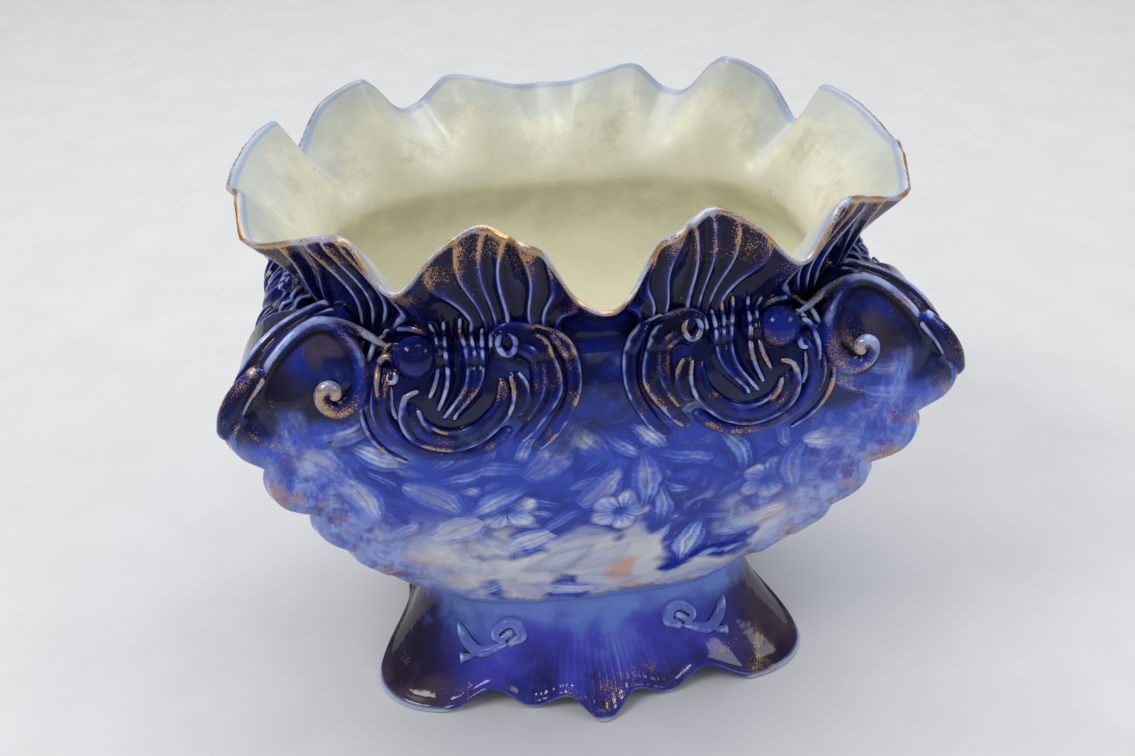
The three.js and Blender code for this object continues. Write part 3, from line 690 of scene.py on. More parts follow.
FOOT_AROUND = 720
angles = turns(FOOT_AROUND)
falls = np.linspace(0, 1, 44)[:, None]
skin = foot_rings(angles, falls)
collar = skin[:1] * (0.994, 0.994, 1) + (0, 0, 0.25)
plump = gadroons(angles, falls)
skin = skin + ring_points(angles, plump * 0.6, plump * 0.8)
edges = [foot_rings(angles, np.ones((1, 1)), wall) for wall in (1.0, FOOT_WALL - 1.0)]
hollow = foot_rings(angles, falls, FOOT_WALL)[::-4]
foot = hoop("winged_foot", np.concatenate([collar, skin, *edges, hollow])[::-1], joined=True)
mark_crests(foot, 9)


def foot_glaze(tree):
    spot = millimetres(tree)
    x, _, z = spot.split()
    wing = abs(x).spread(40.0, 84.0)
    height = z + spot.noise(0.05).spread(0.3, 0.7, -8.0, 8.0)
    color = blended(height.spread(44.0, 20.0), WAIST_BLUE, (0.070, 0.070, 0.54))
    low = height.spread(26.0, 2.0) * 0.8
    deep = low.larger(wing * height.spread(52.0, 26.0))
    crest = marked(tree, "crest") * z.spread(40.0, 32.0, 0.0, 0.17)
    color = over_relief(tree, Under=color, Depth=deep, Crest=crest, Lustre=wing.larger(low * 0.5))
    color = blended(z.spread(3.0, 1.0), color, (0.52, 0.60, 0.78))
    patches = spot.noise(0.045, 2.0).spread(0.48, 0.62, 0.25, 1.0)
    return color, gilded(z.spread(22.0, 4.0) * (patches * 0.78))


foot.data.materials.append(glaze("foot_cobalt", foot_glaze))
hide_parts("foot")
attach(foot, "root")

# The corner scrolls: pressed pieces luted to the four corners. A strap climbs from a knob to the neck over
# two cheeks, the cheek on the long face ends in a volute, and scallops run down the corner below the knob.
# top and foot of the strap, and the point that its arc bends towards
CROWN, HEEL = np.array([105.0, 76.0, 219.0]), np.array([HEEL_X, HEEL_Y, BELLY])
BEND = np.array([137.0, 93.2, 218.0])
CHEEK_LENGTH, CHEEK_DEPTH, CHEEK_FOOT, STRAP_INSET = 55.0, 42.0, 152.0, 5.2
VOLUTE_EYE, VOLUTE_MIDDLE = (101.0, 0.0, 194.0), np.array([101.8, 99.5, 197.8])
# edge of the scalloped flare on the corner: reach from the middle of the pot, and height
SCALLOPED_EDGE = (
    (164, 190), (171.5, 187), (174.3, 180), (171.6, 172), (166.6, 166.1), (162.2, 161.4),
    (160.2, 157.2), (162.2, 152.6), (161.4, 146.1), (158, 139.7), (152.2, 134.4), (145.6, 130),
    (143.6, 126.2), (145, 120.8), (143.2, 115), (139, 109), (134, 104), (130.2, 99.9),
    (129.6, 96), (127.6, 92), (122.8, 86.4), (116.2, 79.2), (109, 71.5), (100, 62),
)


def sparse_grid(axes):
    return np.meshgrid(*axes, indexing="ij", sparse=True)


def clay_block(low, high, pitch, half=1):
    """A block of space to model in, whose field is the distance from the clay and is negative inside it.
    half is -1 for a piece that lies on the front of the pot and 1 for one on its back."""
    axes = [np.arange(a, b + pitch, pitch, dtype=np.float32) for a, b in zip(low, high)]
    field = np.full([len(axis) for axis in axes], 8.0, np.float32)
    return {"axes": axes, "pitch": pitch, "half": half, "field": field}


def blend_in(old, new, soft):
    mix = np.clip(0.5 + 0.5 * (old - new) / soft, 0, 1)
    return old + (new - old) * mix - soft * mix * (1 - mix)


def near(clay, points, reach):
    """The part of a block within reach of the points, and its grid."""
    part = []
    for axis, low, high in zip(clay["axes"], np.min(points, 0) - reach, np.max(points, 0) + reach):
        first, last = np.searchsorted(axis, low), np.searchsorted(axis, high)
        part.append(slice(max(0, first), min(len(axis), last + 1)))
    return tuple(part), sparse_grid([axis[piece] for axis, piece in zip(clay["axes"], part)])


def smooth_path(points, steps=6):
    """Catmull-Rom curve through control points, with any further columns carried along."""
    rows = np.asarray(points, float)
    rows = np.vstack([2 * rows[0] - rows[1], rows, 2 * rows[-1] - rows[-2]])
    t = np.linspace(0, 1, steps, endpoint=False)[:, None]
    parts = []
    for a, b, c, d in zip(rows, rows[1:], rows[2:], rows[3:]):
        bend = (2 * a - 5 * b + 4 * c - d) * t**2 + (3 * b - a - 3 * c + d) * t**3
        parts.append(0.5 * (2 * b + (c - a) * t + bend))
    return np.vstack([*parts, rows[-2:-1]])


def bead_distance(grid, path, radii, shape):
    best = np.full(shape, 99.0, np.float32)
    for a, b, start, end in zip(path, path[1:], radii, radii[1:]):
        step = b - a
        t = sum((g - p) * s for g, p, s in zip(grid, a, step)) / max(float(step @ step), 1e-9)
        t = np.clip(t, 0, 1)
        gap = sum((g - (p + t * s)) ** 2 for g, p, s in zip(grid, a, step))
        best = np.minimum(best, np.sqrt(gap) - (start + (end - start) * t))
    return best


def lay_bead(clay, path, radii, soft=1.0, cut=False):
    """Lays a rounded roll of clay along a path and works it in, or scores a groove of that shape."""
    path, radii = np.asarray(path, float), np.broadcast_to(radii, len(path))
    part, grid = near(clay, path, float(np.max(radii)) + 3 * soft)
    old = clay["field"][part]
    roll = bead_distance(grid, path, radii, old.shape)
    clay["field"][part] = -blend_in(-old, roll, soft) if cut else blend_in(old, roll, soft)


def press_lump(clay, centre, sizes, soft):
    """Presses an egg-shaped lump on."""
    part, grid = near(clay, [centre], max(sizes) + 3 * soft)
    sums = sum(((g - c) / size) ** 2 for g, c, size in zip(grid, centre, sizes))
    egg = (np.sqrt(sums) - 1) * min(sizes)
    clay["field"][part] = blend_in(clay["field"][part], egg, soft)


def skin_radius(angle, z):
    """Reach of the pot's own outside at any height, from the table to the lip."""
    foot = foot_radius(angle, np.clip((WAIST - z) / WAIST, 0, 1))
    return np.where(z > NECK, rim_radius(angle, z), np.where(z < WAIST, foot, bowl_radius(angle, z)))


def pot_distance(clay):
    """Distance outside the pot's own skin, negative in its wall: true distance, and along a level line."""
    x, y, z = sparse_grid(clay["axes"])
    gap = np.hypot(x, y) - skin_radius(np.arctan2(y * clay["half"], x), z)
    slope = np.sqrt(sum(g**2 for g in np.gradient(gap, clay["pitch"])))
    return (gap / np.clip(slope, 0.7, 3)).astype(np.float32), gap


def bed_down(clay, sink, soft, wide=3.0, deep=2.2, pot=None):
    """Works the ornament into the skin of the pot, whose surface carries on a little below it as a bed."""
    skin, reach = pot or pot_distance(clay)
    ornament = clay["field"].copy()
    joined = blend_in(ornament, skin + sink, soft)
    bedded = np.maximum(np.maximum(joined, -(skin + deep)), -(reach + 2.0))
    clay["field"] = np.maximum(bedded, ornament - wide).astype(np.float32)


CELL_EDGES = [(a, b) for a in range(8) for b in range(8) if a < b and bin(a ^ b).count("1") == 1]


def cast(clay, wipes):
    """Closed mesh round the clay: one point in each cell of space that its surface passes through."""
    field, pitch = clay["field"], clay["pitch"]
    for axis in range(3):
        end = [slice(None)] * 3
        for place in (0, -1):
            end[axis] = place
            field[tuple(end)] = 1.0
    inside = field < 0
    total = np.zeros([n - 1 for n in field.shape], np.int8)
    corners = [(c >> 2 & 1, c >> 1 & 1, c & 1) for c in range(8)]
    for dx, dy, dz in corners:
        total += inside[dx : total.shape[0] + dx, dy : total.shape[1] + dy, dz : total.shape[2] + dz]
    cells = np.argwhere((total > 0) & (total < 8))
    index = np.full(total.shape, -1, np.int64)
    index[tuple(cells.T)] = np.arange(len(cells))
    values = np.stack([field[tuple((cells + corner).T)] for corner in corners], 1)
    points, hits = np.zeros((len(cells), 3)), np.zeros((len(cells), 1))
    for a, b in CELL_EDGES:
        low, high = values[:, a], values[:, b]
        crossing = (low < 0) != (high < 0)
        t = np.where(crossing, low / np.where(crossing, low - high, 1), 0)[:, None]
        spot = np.array(corners[a]) + (np.array(corners[b]) - np.array(corners[a])) * t
        points += spot * crossing[:, None]
        hits += crossing[:, None]
    origin = np.array([axis[0] for axis in clay["axes"]])
    points = origin + (cells + points / hits) * pitch
    faces = []
    for axis in range(3):
        after = [slice(None)] * 3
        before = [slice(None)] * 3
        after[axis], before[axis] = slice(1, None), slice(None, -1)
        here, there = inside[tuple(before)], inside[tuple(after)]
        for entering in (True, False):
            crossed = np.argwhere((here != there) & (here == entering))
            u, v = [np.eye(3, dtype=np.int64)[(axis + k) % 3] for k in (1, 2)]
            quad = [index[tuple((crossed - shift).T)] for shift in (u + v, v, 0 * u, u)]
            faces.append(np.stack(quad if entering else quad[::-1], -1))
    faces = np.concatenate(faces)
    return eased(points, faces, wipes), faces


def eased(points, faces, wipes):
    """Wipes the mesh over with a damp sponge: steps between cells go, and the size stays."""
    links = both_ways(np.concatenate([faces[:, [k, (k + 1) % 4]] for k in range(4)]))
    for strength in (0.5, -0.52) * wipes:
        points = points + strength * (beside(points, links) - points)
    return points


def outline_distance(u, v, outline):
    """Signed distance to a closed flat outline, negative inside."""
    best = np.full(np.broadcast(u, v).shape, 1e9)
    inside = np.zeros(best.shape, bool)
    for a, b in zip(outline, np.roll(outline, -1, axis=0)):
        step = b - a
        t = np.clip(((u - a[0]) * step[0] + (v - a[1]) * step[1]) / max(step @ step, 1e-9), 0, 1)
        best = np.minimum(best, (u - a[0] - t * step[0]) ** 2 + (v - a[1] - t * step[1]) ** 2)
        level = (a[1] > v) != (b[1] > v)
        inside ^= level & (u < a[0] + (v - a[1]) * step[0] / (step[1] if abs(step[1]) > 1e-9 else 1e-9))
    return np.where(inside, -1, 1) * np.sqrt(best)


def arc(points, steps=16):
    start, middle, end = [np.asarray(p, float) for p in points]
    t = np.linspace(0, 1, steps)[:, None]
    return (1 - t) ** 2 * start + 2 * t * (1 - t) * middle + t**2 * end


def cheek_outline(axis, length):
    """Flat outline of a cheek: up the strap's arc, then round the volute and back along the foot of it."""
    far = HEEL[axis] - length
    crown, bend = (CROWN[axis], CROWN[2]), (BEND[axis], BEND[2])
    rise = BELLY + 0.45 * (CROWN[2] - BELLY)
    return np.vstack([
        [(HEEL[axis], 150.0)],
        arc([(HEEL[axis], BELLY), bend, crown]),
        arc([crown, (far, CROWN[2]), (far, rise)])[1:],
        arc([(far, rise), (far, BELLY), (far + length / 3, BELLY - 6)])[1:],
        [(far + length / 2, 150.0)],
    ])


# ridge that climbs from the knob over the crown and winds in to the middle of the volute; last is its radius
front_ridge = (
    (133, 92, 195, 1.8), (131, 91.6, 200, 1.9), (127, 88.5, 206, 2.0), (121, 85, 212, 2.0),
    (114, 81.5, 216.5, 2.1), (107, 79.5, 218.6, 2.2), (101, 80, 216.8, 2.3), (96.7, 82.5, 212.6, 2.6),
    (93.8, 85.5, 207.4, 2.9), (92.6, 88, 202, 3.2), (93, 91, 196, 3.5), (95.6, 93.3, 191.2, 3.7),
    (99.7, 94.8, 188.8, 3.6), (103.8, 95.8, 189.2, 3.2), (106.8, 96.7, 192, 2.8), (107.8, 97.3, 196, 2.6),
    (106.6, 98, 199.6, 2.7), (104.2, 98, 200.8, 2.8), (102.4, 98, 199.6, 2.8), (102.2, 98, 197.6, 2.6),
)
# ridge that leaves the crown for the cartouche, and the knob at the foot of the strap
side_ridge = (
    (107, 79, 218.5, 1.6), (99, 79, 217.5, 1.8), (92, 79.6, 214, 1.8), (86, 81, 210, 1.5),
    (81, 82, 206.5, 1.0),
)
knob_roll = ((131.5, 89, 203.5, 3.4), (138, 90.5, 196, 4.8), (142.5, 92, 188.5, 5.2), (145, 93, 182.5, 4.2))


def corner_clay(half):
    clay = clay_block((60, 36, 56), (153, 110, 226), 0.72, half)
    pot = pot_distance(clay)
    x, y, z = sparse_grid(clay["axes"])
    long_cheek = outline_distance(x[:, :, 0], z[0], cheek_outline(0, CHEEK_LENGTH))[:, None, :]
    short_cheek = outline_distance(y[0], z[0], cheek_outline(1, CHEEK_DEPTH))[None]
    # both cheeks lean in towards the crown and die away into the body below the belly
    fullest, face_out = 184, 96.6
    tuck = 0.0118 * np.maximum(0, fullest - z) ** 2
    swell = face_out - 0.0145 * np.maximum(0, z - fullest) ** 2
    swell = swell - 0.05 * np.maximum(0, 100 - x) ** 2 - 0.0032 * np.maximum(0, x - 104) ** 2
    faces = -blend_in(-(x - HEEL[0] + tuck), -(y - swell + tuck), 4.0)
    block = -blend_in(-np.maximum(long_cheek, short_cheek), -faces, 2.0)
    strap = arc([CROWN, BEND, HEEL], 20) - STRAP_INSET * outward
    flat = np.stack([strap @ outward, strap[:, 2]], -1)
    under = np.vstack([[(40.0, flat[0, 1])], flat, [(flat[-1, 0], 60.0), (40.0, 60.0)]])
    reach = x * outward[0] + y * outward[1]
    block = np.maximum(block, outline_distance(reach, z + 0 * reach, under))
    clay["field"] = np.maximum(block, CHEEK_FOOT - z).astype(np.float32)
    # the dish of the volute is pressed in first, then the ridges are laid on
    ridge = smooth_path(front_ridge, 5)
    last_turn = ridge[52:86, :3] + (0, 3.2, 0)
    lay_bead(clay, VOLUTE_MIDDLE + (last_turn - VOLUTE_MIDDLE) * (0.62, 1, 0.62), 3.6, 1.6, cut=True)
    lay_bead(clay, ridge[:, :3], ridge[:, 3], 1.8)
    rise = smooth_path(side_ridge, 5)
    lay_bead(clay, rise[:, :3], rise[:, 3], 2.2)
    lay_bead(clay, strap - 7.4 * across, 2.2, 1.8)
    lay_bead(clay, strap - 2.2 * across, 1.0, 1.4)
    # the knob at the foot of the strap, with a raised line along its edge
    knob = smooth_path(knob_roll)
    lay_bead(clay, knob[:, :3], knob[:, 3], 1.2)
    lay_bead(clay, knob[:, :3] + (-3.0, 4.0, -0.6), 1.0, 0.6)
    bed_down(clay, 0.4, 3.6, deep=1.6, pot=pot)
    # the flare down the corner: a wedge with a scalloped edge, worked far into both faces, with a rolled lip
    upper = clay["field"]
    edge = smooth_path(SCALLOPED_EDGE, 3)
    flare = np.vstack([edge, [(70.0, 62.0), (70.0, 190.0)]])
    edge_distance = outline_distance(reach + 0 * z, z + 0 * reach, flare)
    side = np.abs(x * across[0] + y * across[1]) - 2.6 + 0.42 * edge_distance
    clay["field"] = -blend_in(-edge_distance, -side, 3.0).astype(np.float32)
    lip = outward * (edge[2:-6, :1] - 1.4) + np.array([0, 0, 1]) * edge[2:-6, 1:]
    for lift in (-2.6, 2.6):
        lay_bead(clay, lip + lift * across, 1.5, 1.2)
    bed_down(clay, 0.4, 11.0, wide=12.5, deep=1.6, pot=pot)
    clay["field"] = blend_in(clay["field"], upper, 0.6)
    return clay


CORNERS = {"front_left": (-1, -1), "front_right": (1, -1), "back_left": (-1, 1), "back_right": (1, 1)}


def mirrored(name, points, faces, signs, passes, material):
    """A cast piece turned to its place by the signs of x and y, with its crests marked and its glaze on."""
    turned = faces if signs[0] * signs[1] > 0 else faces[:, ::-1]
    piece = piece_from(name, points * (*signs, 1), turned.tolist())
    mark_crests(piece, passes)
    piece.data.materials.append(material)
    return piece


def scroll_glaze(tree):
    spot = millimetres(tree)
    x, y, z = spot.split()
    off, crest, patchy = from_corner(x, y), marked(tree, "crest"), spot.noise(0.05)
    deep = (patchy * 60.0 + z).spread(204.0, 228.0) * 0.95
    raised = crest * z.spread(176.0, 196.0, 0.4, 1.0)
    lustre = spot.noise(0.06, 2.0).spread(0.5, 0.62)
    color = over_relief(tree, Under=printed(tree), Depth=deep, Crest=raised, Lustre=lustre)
    # pale glaze with painted highlight along the edge of the scallops
    pale = off.spread(6.0, 3.0) * z.spread(186.0, 178.0, 0.0, 0.6)
    color = blended(pale, color, (0.26, 0.36, 0.74))
    # bronze shadow on the cheek beside the strap, and dark glaze on the knob
    shadow = (patchy * 24.0 + z).spread(192.0, 212.0) * patchy.spread(0.36, 0.5, 0.2, 0.9)
    bronze = abs(x).spread(108.0, 122.0) * shadow
    color = blended(bronze * crest.spread(0.15, 0.05), color, (0.022, 0.014, 0.020))
    knob = off.spread(12.0, 8.0) * (z.spread(172.0, 182.0) * z.spread(206.0, 198.0))
    color = blended(knob * crest.spread(0.3, 0.2, 0.2, 0.85), color, (0.006, 0.007, 0.035))
    # gold on the ridges, round the eye of the volute and along the scallops
    eye = node(tree, "CombineXYZ", 0, {0: abs(x), 2: z}).vector("DISTANCE", VOLUTE_EYE, output="Value")
    dabbed = patchy.spread(0.42, 0.58, 0.3, 0.85).larger(eye.spread(15.0, 6.0))
    edge = off.spread(14.0, 5.0) * z.spread(182.0, 174.0)
    edge = edge * spot.noise(0.07, 2.0).spread(0.40, 0.58, 0.2, 0.68)
    return color, gilded((crest.spread(-0.12, 0.3) * dabbed).larger(edge))


scroll_lustre = glaze("scroll_lustre", scroll_glaze)
for half in (-1, 1):
    points, faces = cast(corner_clay(half), 2)
    for corner, signs in CORNERS.items():
        if signs[1] != half:
            continue
        scroll = mirrored(f"scroll_{corner}", points, faces, signs, 14, scroll_lustre)
        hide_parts(f"corner_scroll_{corner}")
        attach(scroll, "root")

# The cartouches: pressed scrollwork luted round the shoulder, two on each long face and one on each side.
# A crescent holds a ball in its outer horn and a curl on its inner one; tails nest beside it, and flutes
# run down into it from the neck.
CARTOUCHE_LEVEL = BELLY + 18


def on_face(stroke, centre, long_face, half):
    """Places rows of (u, v, lift, radius) on the pot: u along the face, v up from the cartouche's middle."""
    rows = np.asarray(stroke, float)
    u, z = centre + rows[:, 0], CARTOUCHE_LEVEL + rows[:, 1]

    def out_to_skin(z):
        low, high = np.full(len(u), 40.0), np.full(len(u), 160.0)
        for _ in range(26):
            middle = 0.5 * (low + high)
            x, y = (u, middle * half) if long_face else (middle, u)
            outside = np.hypot(x, y) > skin_radius(np.arctan2(y, x), z)
            low, high = np.where(outside, low, middle), np.where(outside, middle, high)
        return low

    out = np.mean([out_to_skin(z + step) for step in (-4.5, 0, 4.5)], axis=0)
    tilt = math.radians(40) * np.clip((z - 170) / 30, 0, 1) * np.clip((222 - z) / 14, 0, 1)
    # strokes stand higher where they cross from the shoulder to the collar
    lift = rows[:, 2] + 3.6 * np.exp(-(((z - NECK - 1) / 4.5) ** 2))
    out, z = out + lift * np.cos(tilt), z + lift * np.sin(tilt)
    return np.stack((u, out, z) if long_face else (out, u, z), -1), rows[:, 3]


def drawn(points, lift, radius, blunt=False):
    """Rows for on_face from flat points, thinning to both ends unless blunt."""
    path = smooth_path(points, 5)
    share = np.linspace(0, 1, len(path))
    swell = radius * (1 if blunt else 0.5 + 0.5 * np.sin(math.pi * share) ** 0.5)
    return np.column_stack([path, np.full(len(path), lift), np.broadcast_to(swell, len(path))])


def ring_drawn(middle, radius, start, end, steps):
    turn = np.radians(np.linspace(start, end, steps))
    return np.stack([middle[0] + radius * np.cos(turn), middle[1] + radius * np.sin(turn)], -1)


# strokes of the scrollwork as flat points, after lift and radius: stout rolls and sharp ridges along them
ROLLS = (
    (-0.8, 4.0, (
        (-20.5, -4), (-20.8, -9), (-18.5, -14.5), (-14, -20), (-8, -25), (0, -27.5), (8, -26),
        (13.5, -21.5), (15.8, -16), (15.5, -11),
    )),
    (-0.6, 3.8, (
        (19, 4), (24, 0), (26.5, -8), (26, -16), (22, -24), (15, -30.5), (5, -34.5), (-5, -35),
        (-14, -31.5), (-21, -25),
    )),
)
RIDGES = (
    (1.5, 2.0, (
        (-23.5, -2.5), (-24.5, -8), (-22.5, -14.5), (-18.5, -20), (-13.5, -25), (-8, -28.5), (0, -31),
        (8, -29.5), (14.5, -26), (18, -21.5), (19.4, -16), (18.6, -10), (16.5, -6.5), (12.5, -5),
    )),
    (0.4, 1.3, (
        (-19, -6), (-17.5, -12), (-13.5, -17), (-8, -21.5), (-1, -23.8), (5.5, -22.5), (10.5, -18),
        (12.5, -13),
    )),
    (1.3, 1.7, (
        (17.5, 4.5), (22.2, 1), (25.4, -5), (26.3, -11.5), (24.8, -18), (21.5, -23.5), (15, -29.5),
        (6, -33.5),
    )),
    (0.6, 1.6, (
        (21, 7.5), (25.5, 3.5), (28.9, -4), (29.9, -11), (28.4, -18), (24.6, -25), (18.4, -31), (10, -36),
    )),
    (-0.4, 1.6, (
        (21.5, 11.5), (27.5, 7), (32, 0), (34.4, -8), (34.4, -16), (32.2, -24), (27.5, -31.5), (20, -38),
    )),
    (0.8, 1.3, ((22.3, -3), (22.8, -9), (21.6, -15))),
    (1.0, 1.3, ((17.8, -6.4), (18, -12.8), (16.7, -19.2))),
    (0.9, 1.4, ((13, -12.4), (11.8, -17), (9.1, -21.8))),
    (0.8, 1.8, ((-34.5, 14.6), (-29.2, 15.9), (-23.3, 16.1), (-18.8, 12.6), (-16.8, 6.7))),
    (-1.4, 1.8, ((-24.8, 25.5), (-25.3, 20.7), (-19.2, 18.5), (-15.6, 13.8), (-14.3, 7.6))),
)
# the ridges stand above the rolls they lie on, and are pinched thinner than they were rolled
RIDGE_RAISED, RIDGE_PINCHED = 0.8, 0.74
# tails beside the crescent and flutes down into it: a broad swell with a sharp ridge on it
TAILS = (
    (
        (-26, 4.5), (-28.5, 6.2), (-32.5, 5.6), (-35.5, 3), (-36.6, -1.5), (-36.2, -6), (-34.5, -11),
        (-32, -15.5), (-29.3, -19.8),
    ),
    (
        (-33, 11.5), (-37.5, 8), (-40, 3), (-42, -2), (-42.2, -8), (-39.8, -13.5), (-35.5, -19.5),
        (-31, -25.5), (-27, -30),
    ),
    (
        (-35, 15.5), (-41.5, 11.5), (-46.5, 7), (-49.4, 1), (-49.8, -6), (-48, -13.5), (-44, -21.6),
        (-39.5, -29), (-34, -35),
    ),
    ((-27, -1.5), (-29.2, -5.3), (-29.5, -9.8), (-28.2, -14), (-26, -17.5)),
)
FLUTES = (
    (
        (-14.1, 14), (-13.6, 8), (-13.2, 3.5), (-12.4, -1.5), (-9.8, -6), (-6.1, -10), (-2.2, -14),
        (-0.6, -17),
    ),
    ((-6, 20), (-5.7, 13), (-7.2, 6.9), (-7.8, 1.3), (-6.6, -3.6), (-4.2, -7.6), (-0.8, -11.4), (3.1, -16)),
    ((0.3, 19), (0.6, 10), (0.6, 4), (0.4, -0.5), (1.9, -6), (5, -12.5)),
    ((5.5, 18), (3.4, 9.7), (3.9, 2.1), (5.2, -2.3), (8, -7.5)),
    ((-10.3, 18), (-9.8, 10), (-10.6, 4), (-10, -2), (-7.6, -6.5), (-3.5, -11.5)),
)
HOOK = ((27.5, -6), (27.4, -1.5), (26.2, 2), (24, 4.2), (21.4, 4.4), (20, 2), (20.6, -0.8), (22.6, -1.6))
# middles of the ball, of the inner horn's head and of its ring
BALL, HEAD, RING = (12.2, 4.6), (-26, 7), (-23.0, 7.5)


def cartouche_clay(centre, long_face, half):
    def faced(along, out, up):
        return (along, out, up) if long_face else (out, along, up)

    near_out, far_out = (64, 108) if long_face else (100, 146)
    clay = clay_block(faced(centre - 54, near_out, 156), faced(centre + 39, far_out, 228), 0.58, half)

    def lay(rows, soft):
        path, radii = on_face(rows, centre, long_face, half)
        lay_bead(clay, path, radii, soft)

    def press(spot, lift, along, out, up, soft):
        place, _ = on_face([(*spot, lift, 1)], centre, long_face, half)
        press_lump(clay, place[0], faced(along, out, up), soft)

    for lift, radius, stroke in ROLLS:
        lay(drawn(stroke, lift, radius), 1.6)
    for stroke in TAILS:
        inward = np.array(stroke) + (2.0, -0.3)
        lay(drawn(inward, -0.8, 3.2), 1.4)
        lay(drawn(stroke, 1.5, 1.3), 0.8)
    for stroke in FLUTES:
        lay(drawn(stroke, -0.8, 2.8), 1.2)
        lay(drawn(stroke, 2.0, 1.15), 0.8)
    for lift, radius, stroke in RIDGES:
        lay(drawn(stroke, lift + RIDGE_RAISED, RIDGE_PINCHED * radius), 0.8)
    # ball in the outer horn, with its collar and the hook that holds it
    press(BALL, 1.6, 8.4, 7.4, 8.4, 0.8)
    lay(drawn(ring_drawn(BALL, 9.9, 55, 155, 12), 0.8, 1.6), 0.9)
    lay(drawn(HOOK, 2.8, 1.5), 0.7)
    # head of the inner horn and the ring curled on it
    press(HEAD, -3.4, 10.0, 4.0, 9.5, 1.4)
    lay(drawn(ring_drawn(RING, 3.3, -75, 285, 26), 3.0, 1.25, blunt=True), 0.6)
    bed_down(clay, 0.4, 1.8, deep=1.6)
    return clay


def cartouche_glaze(tree):
    spot = millimetres(tree)
    z, crest, patchy = spot.split()[2], marked(tree, "crest"), spot.noise(0.07)
    under = blended(0.6, printed(tree), COBALT)
    deep = (patchy * 26.0 + z).spread(176.0, 196.0, 0.55, 0.95)
    lustre = patchy.spread(0.5, 0.7, 0.0, 0.8)
    color = over_relief(tree, Under=under, Depth=deep, Crest=crest, Lustre=lustre)
    # painted shade: the hollows of the scrollwork go near black, over the glaze that pools in them
    pooled_shade = crest.spread(0.14, 0.02) * z.spread(172.0, 186.0, 0.0, 0.8)
    color = blended(pooled_shade, color, (0.003, 0.004, 0.045))
    return color, gilded(crest.spread(-0.1, 0.3) * patchy.spread(0.46, 0.6, 0.0, 0.85))


cartouche_cobalt = glaze("cartouche_cobalt", cartouche_glaze, glare=0.28)


def place_cartouche(name, points, faces, signs):
    cartouche = mirrored(f"scrollwork_{name}", points, faces, signs, 12, cartouche_cobalt)
    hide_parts(f"cartouche_{name}")
    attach(cartouche, "root")


for half in (-1, 1):
    points, faces = cast(cartouche_clay(CARTOUCHE_MIDDLE, True, half), 1)
    for corner, signs in CORNERS.items():
        if signs[1] == half:
            place_cartouche(corner, points, faces, signs)
points, faces = cast(cartouche_clay(0.0, False, 1), 1)
place_cartouche("left", points, faces, (-1, 1))
place_cartouche("right", points, faces, (1, 1))

# The foot sprigs: four small pressed scrolls with a curled head and a tail, one on each wing of the foot.
# Each is a flat sprig of clay bent to the foot's slope and luted on before the glaze.
SPRIG_ANGLE, SPRIG_FALL, SPRIG_REACH = math.radians(50), 0.4, 85.0
# strokes of the curl, the tail and the short leaf: along the foot, up it, and radius
SPRIG_STROKES = (
    (
        (12, -5, 2.0), (16, -1, 2.8), (13, 4.5, 3.0), (7, 5.5, 2.8), (3.5, 1.5, 2.6), (6.5, -2.5, 2.3),
        (10, 0, 2.0),
    ),
    ((9, -5.5, 1.6), (1, -6, 2.8), (-7, -2, 3.0), (-13, 3, 2.4), (-18, 4.5, 1.2)),
    ((-2, -5, 1.4), (-9, -8, 2.3), (-15, -6.5, 1.1)),
)


def sprig_clay():
    rolls = []
    for stroke in SPRIG_STROKES:
        along, up, radii = smooth_path(stroke).T
        rolls.append((foot_rings(SPRIG_ANGLE + along / SPRIG_REACH, SPRIG_FALL - up / WAIST), radii))
    curl = rolls[0][0]
    clay = clay_block(curl.min(0) - 30, curl.max(0) + 18, 0.6)
    for path, radii in rolls:
        lay_bead(clay, path, radii, 0.7)
    bed_down(clay, 0.5, 1.6)
    return clay


def sprig_glaze(tree):
    color, gold = foot_glaze(tree)
    # painted highlight: the sprigs are lightened all over and their ridges made paler still, over the glaze
    # breaking pale on them
    color = blended(0.3, color, (0.32, 0.42, 0.85))
    return over_relief(tree, Under=color, Depth=0.0, Crest=marked(tree, "crest") * 1.5), gold


sprig_cobalt = glaze("sprig_cobalt", sprig_glaze)
points, faces = cast(sprig_clay(), 1)
for corner, signs in CORNERS.items():
    sprig = mirrored(f"sprig_{corner}", points, faces, signs, 10, sprig_cobalt)
    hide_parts(f"foot_sprig_{corner}")
    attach(sprig, "root")

# The photographer's table: a pale cloth sweep, three soft lamps and the camera at the photograph's angle.
CLOTH_HALF = 2200
cloth_corners = [(x * CLOTH_HALF, y * CLOTH_HALF, 0) for x, y in ((-1, -1), (1, -1), (1, 1), (-1, 1))]
sweep = piece_from("pale_cloth", cloth_corners, [(0, 1, 2, 3)])
cloth = bpy.data.materials.new("pale_cloth")
cloth.use_nodes = True
shader = cloth.node_tree.nodes["Principled BSDF"]
weave = millimetres(cloth.node_tree).noise(0.02, 4.0).spread(0.3, 0.7)
feed(shader.inputs["Base Color"], blended(weave, (0.66, 0.66, 0.66), (0.69, 0.69, 0.69)))
shader.inputs["Roughness"].default_value = 0.9
shader.inputs["Specular IOR Level"].default_value = 0.15
sweep.data.materials.append(cloth)

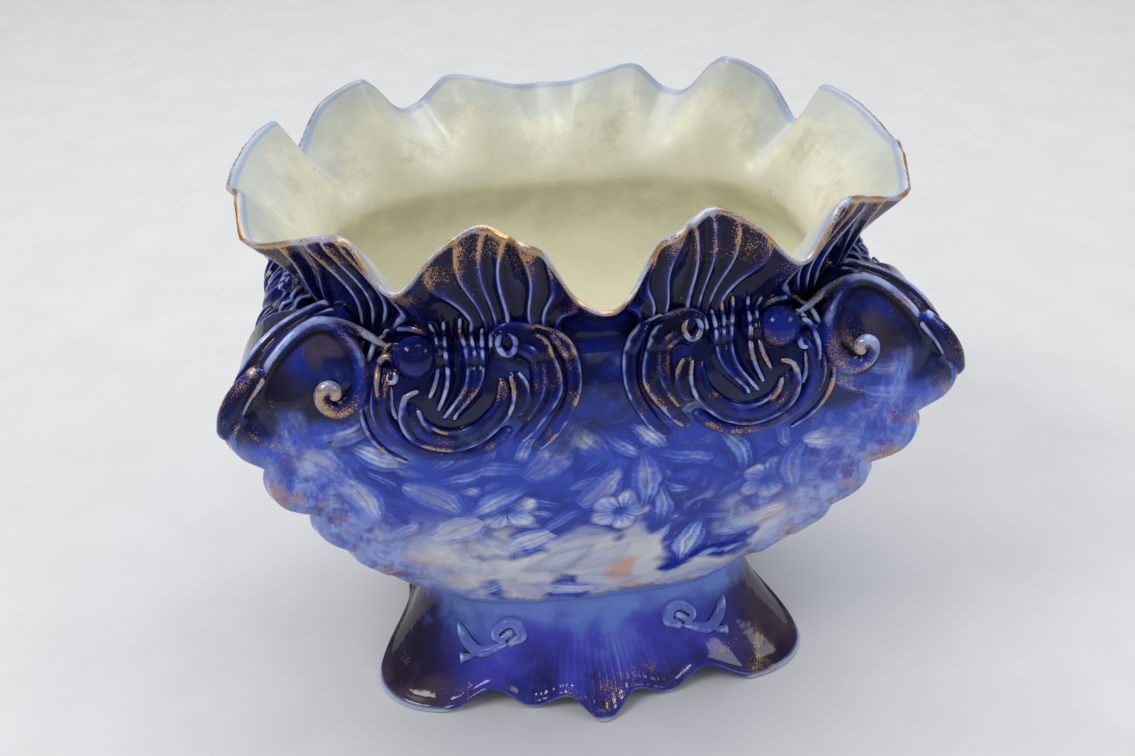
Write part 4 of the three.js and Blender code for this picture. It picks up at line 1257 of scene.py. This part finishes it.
world = bpy.data.worlds.new("pale_room")
bpy.context.scene.world = world
world.use_nodes = True
back = world.node_tree.nodes["Background"]
glossy, seen = [node(world.node_tree, "LightPath", f"Is {kind} Ray") for kind in ("Glossy", "Camera")]
light = blended(glossy, (0.38, 0.39, 0.41), (0.17, 0.18, 0.20))
feed(back.inputs["Color"], blended(seen, light, (0.72, 0.72, 0.72)))
back.inputs["Strength"].default_value = 1.0


def lamp(name, place, size, power, color=(1.0, 1.0, 1.0)):
    light = bpy.data.lights.new(name, "AREA")
    light.shape = "RECTANGLE"
    light.size, light.size_y = size
    light.energy, light.color = power, color
    holder = bpy.data.objects.new(name, light)
    holder.location = place
    holder.rotation_euler = (Vector((0, 0, 0.12)) - Vector(place)).to_track_quat("-Z", "Y").to_euler()
    bpy.context.scene.collection.objects.link(holder)


lamp("window", (-1.1, -0.5, 1.6), (0.8, 0.4), 12.0, (1.0, 0.98, 0.95))
lamp("sky", (0.1, 0.7, 2.4), (2.6, 2.0), 42.0)
lamp("fill", (1.6, -0.6, 1.2), (0.8, 0.5), 5.0, (0.95, 0.97, 1.0))

# the camera as fitted to the photograph: turns in degrees, focal length in pixels of its width
CAMERA_PLACE = (-0.05666, -0.48292, 0.44635)
CAMERA_PAN, CAMERA_DIP, CAMERA_ROLL = -6.35, 32.9, -1.56
SENSOR, FOCAL_PIXELS, PHOTO_WIDTH = 36, 1200, 1135
camera = bpy.data.objects.new("camera", bpy.data.cameras.new("camera"))
camera.data.sensor_width = SENSOR
camera.data.lens = SENSOR * FOCAL_PIXELS / PHOTO_WIDTH
camera.location = CAMERA_PLACE
camera.rotation_euler = (
    Matrix.Rotation(math.radians(CAMERA_PAN), 4, "Z")
    @ Matrix.Rotation(math.radians(90 - CAMERA_DIP), 4, "X")
    @ Matrix.Rotation(math.radians(CAMERA_ROLL), 4, "Z")
).to_euler()
bpy.context.scene.collection.objects.link(camera)
bpy.context.scene.camera = camera
bpy.context.scene.view_settings.view_transform = "Standard"
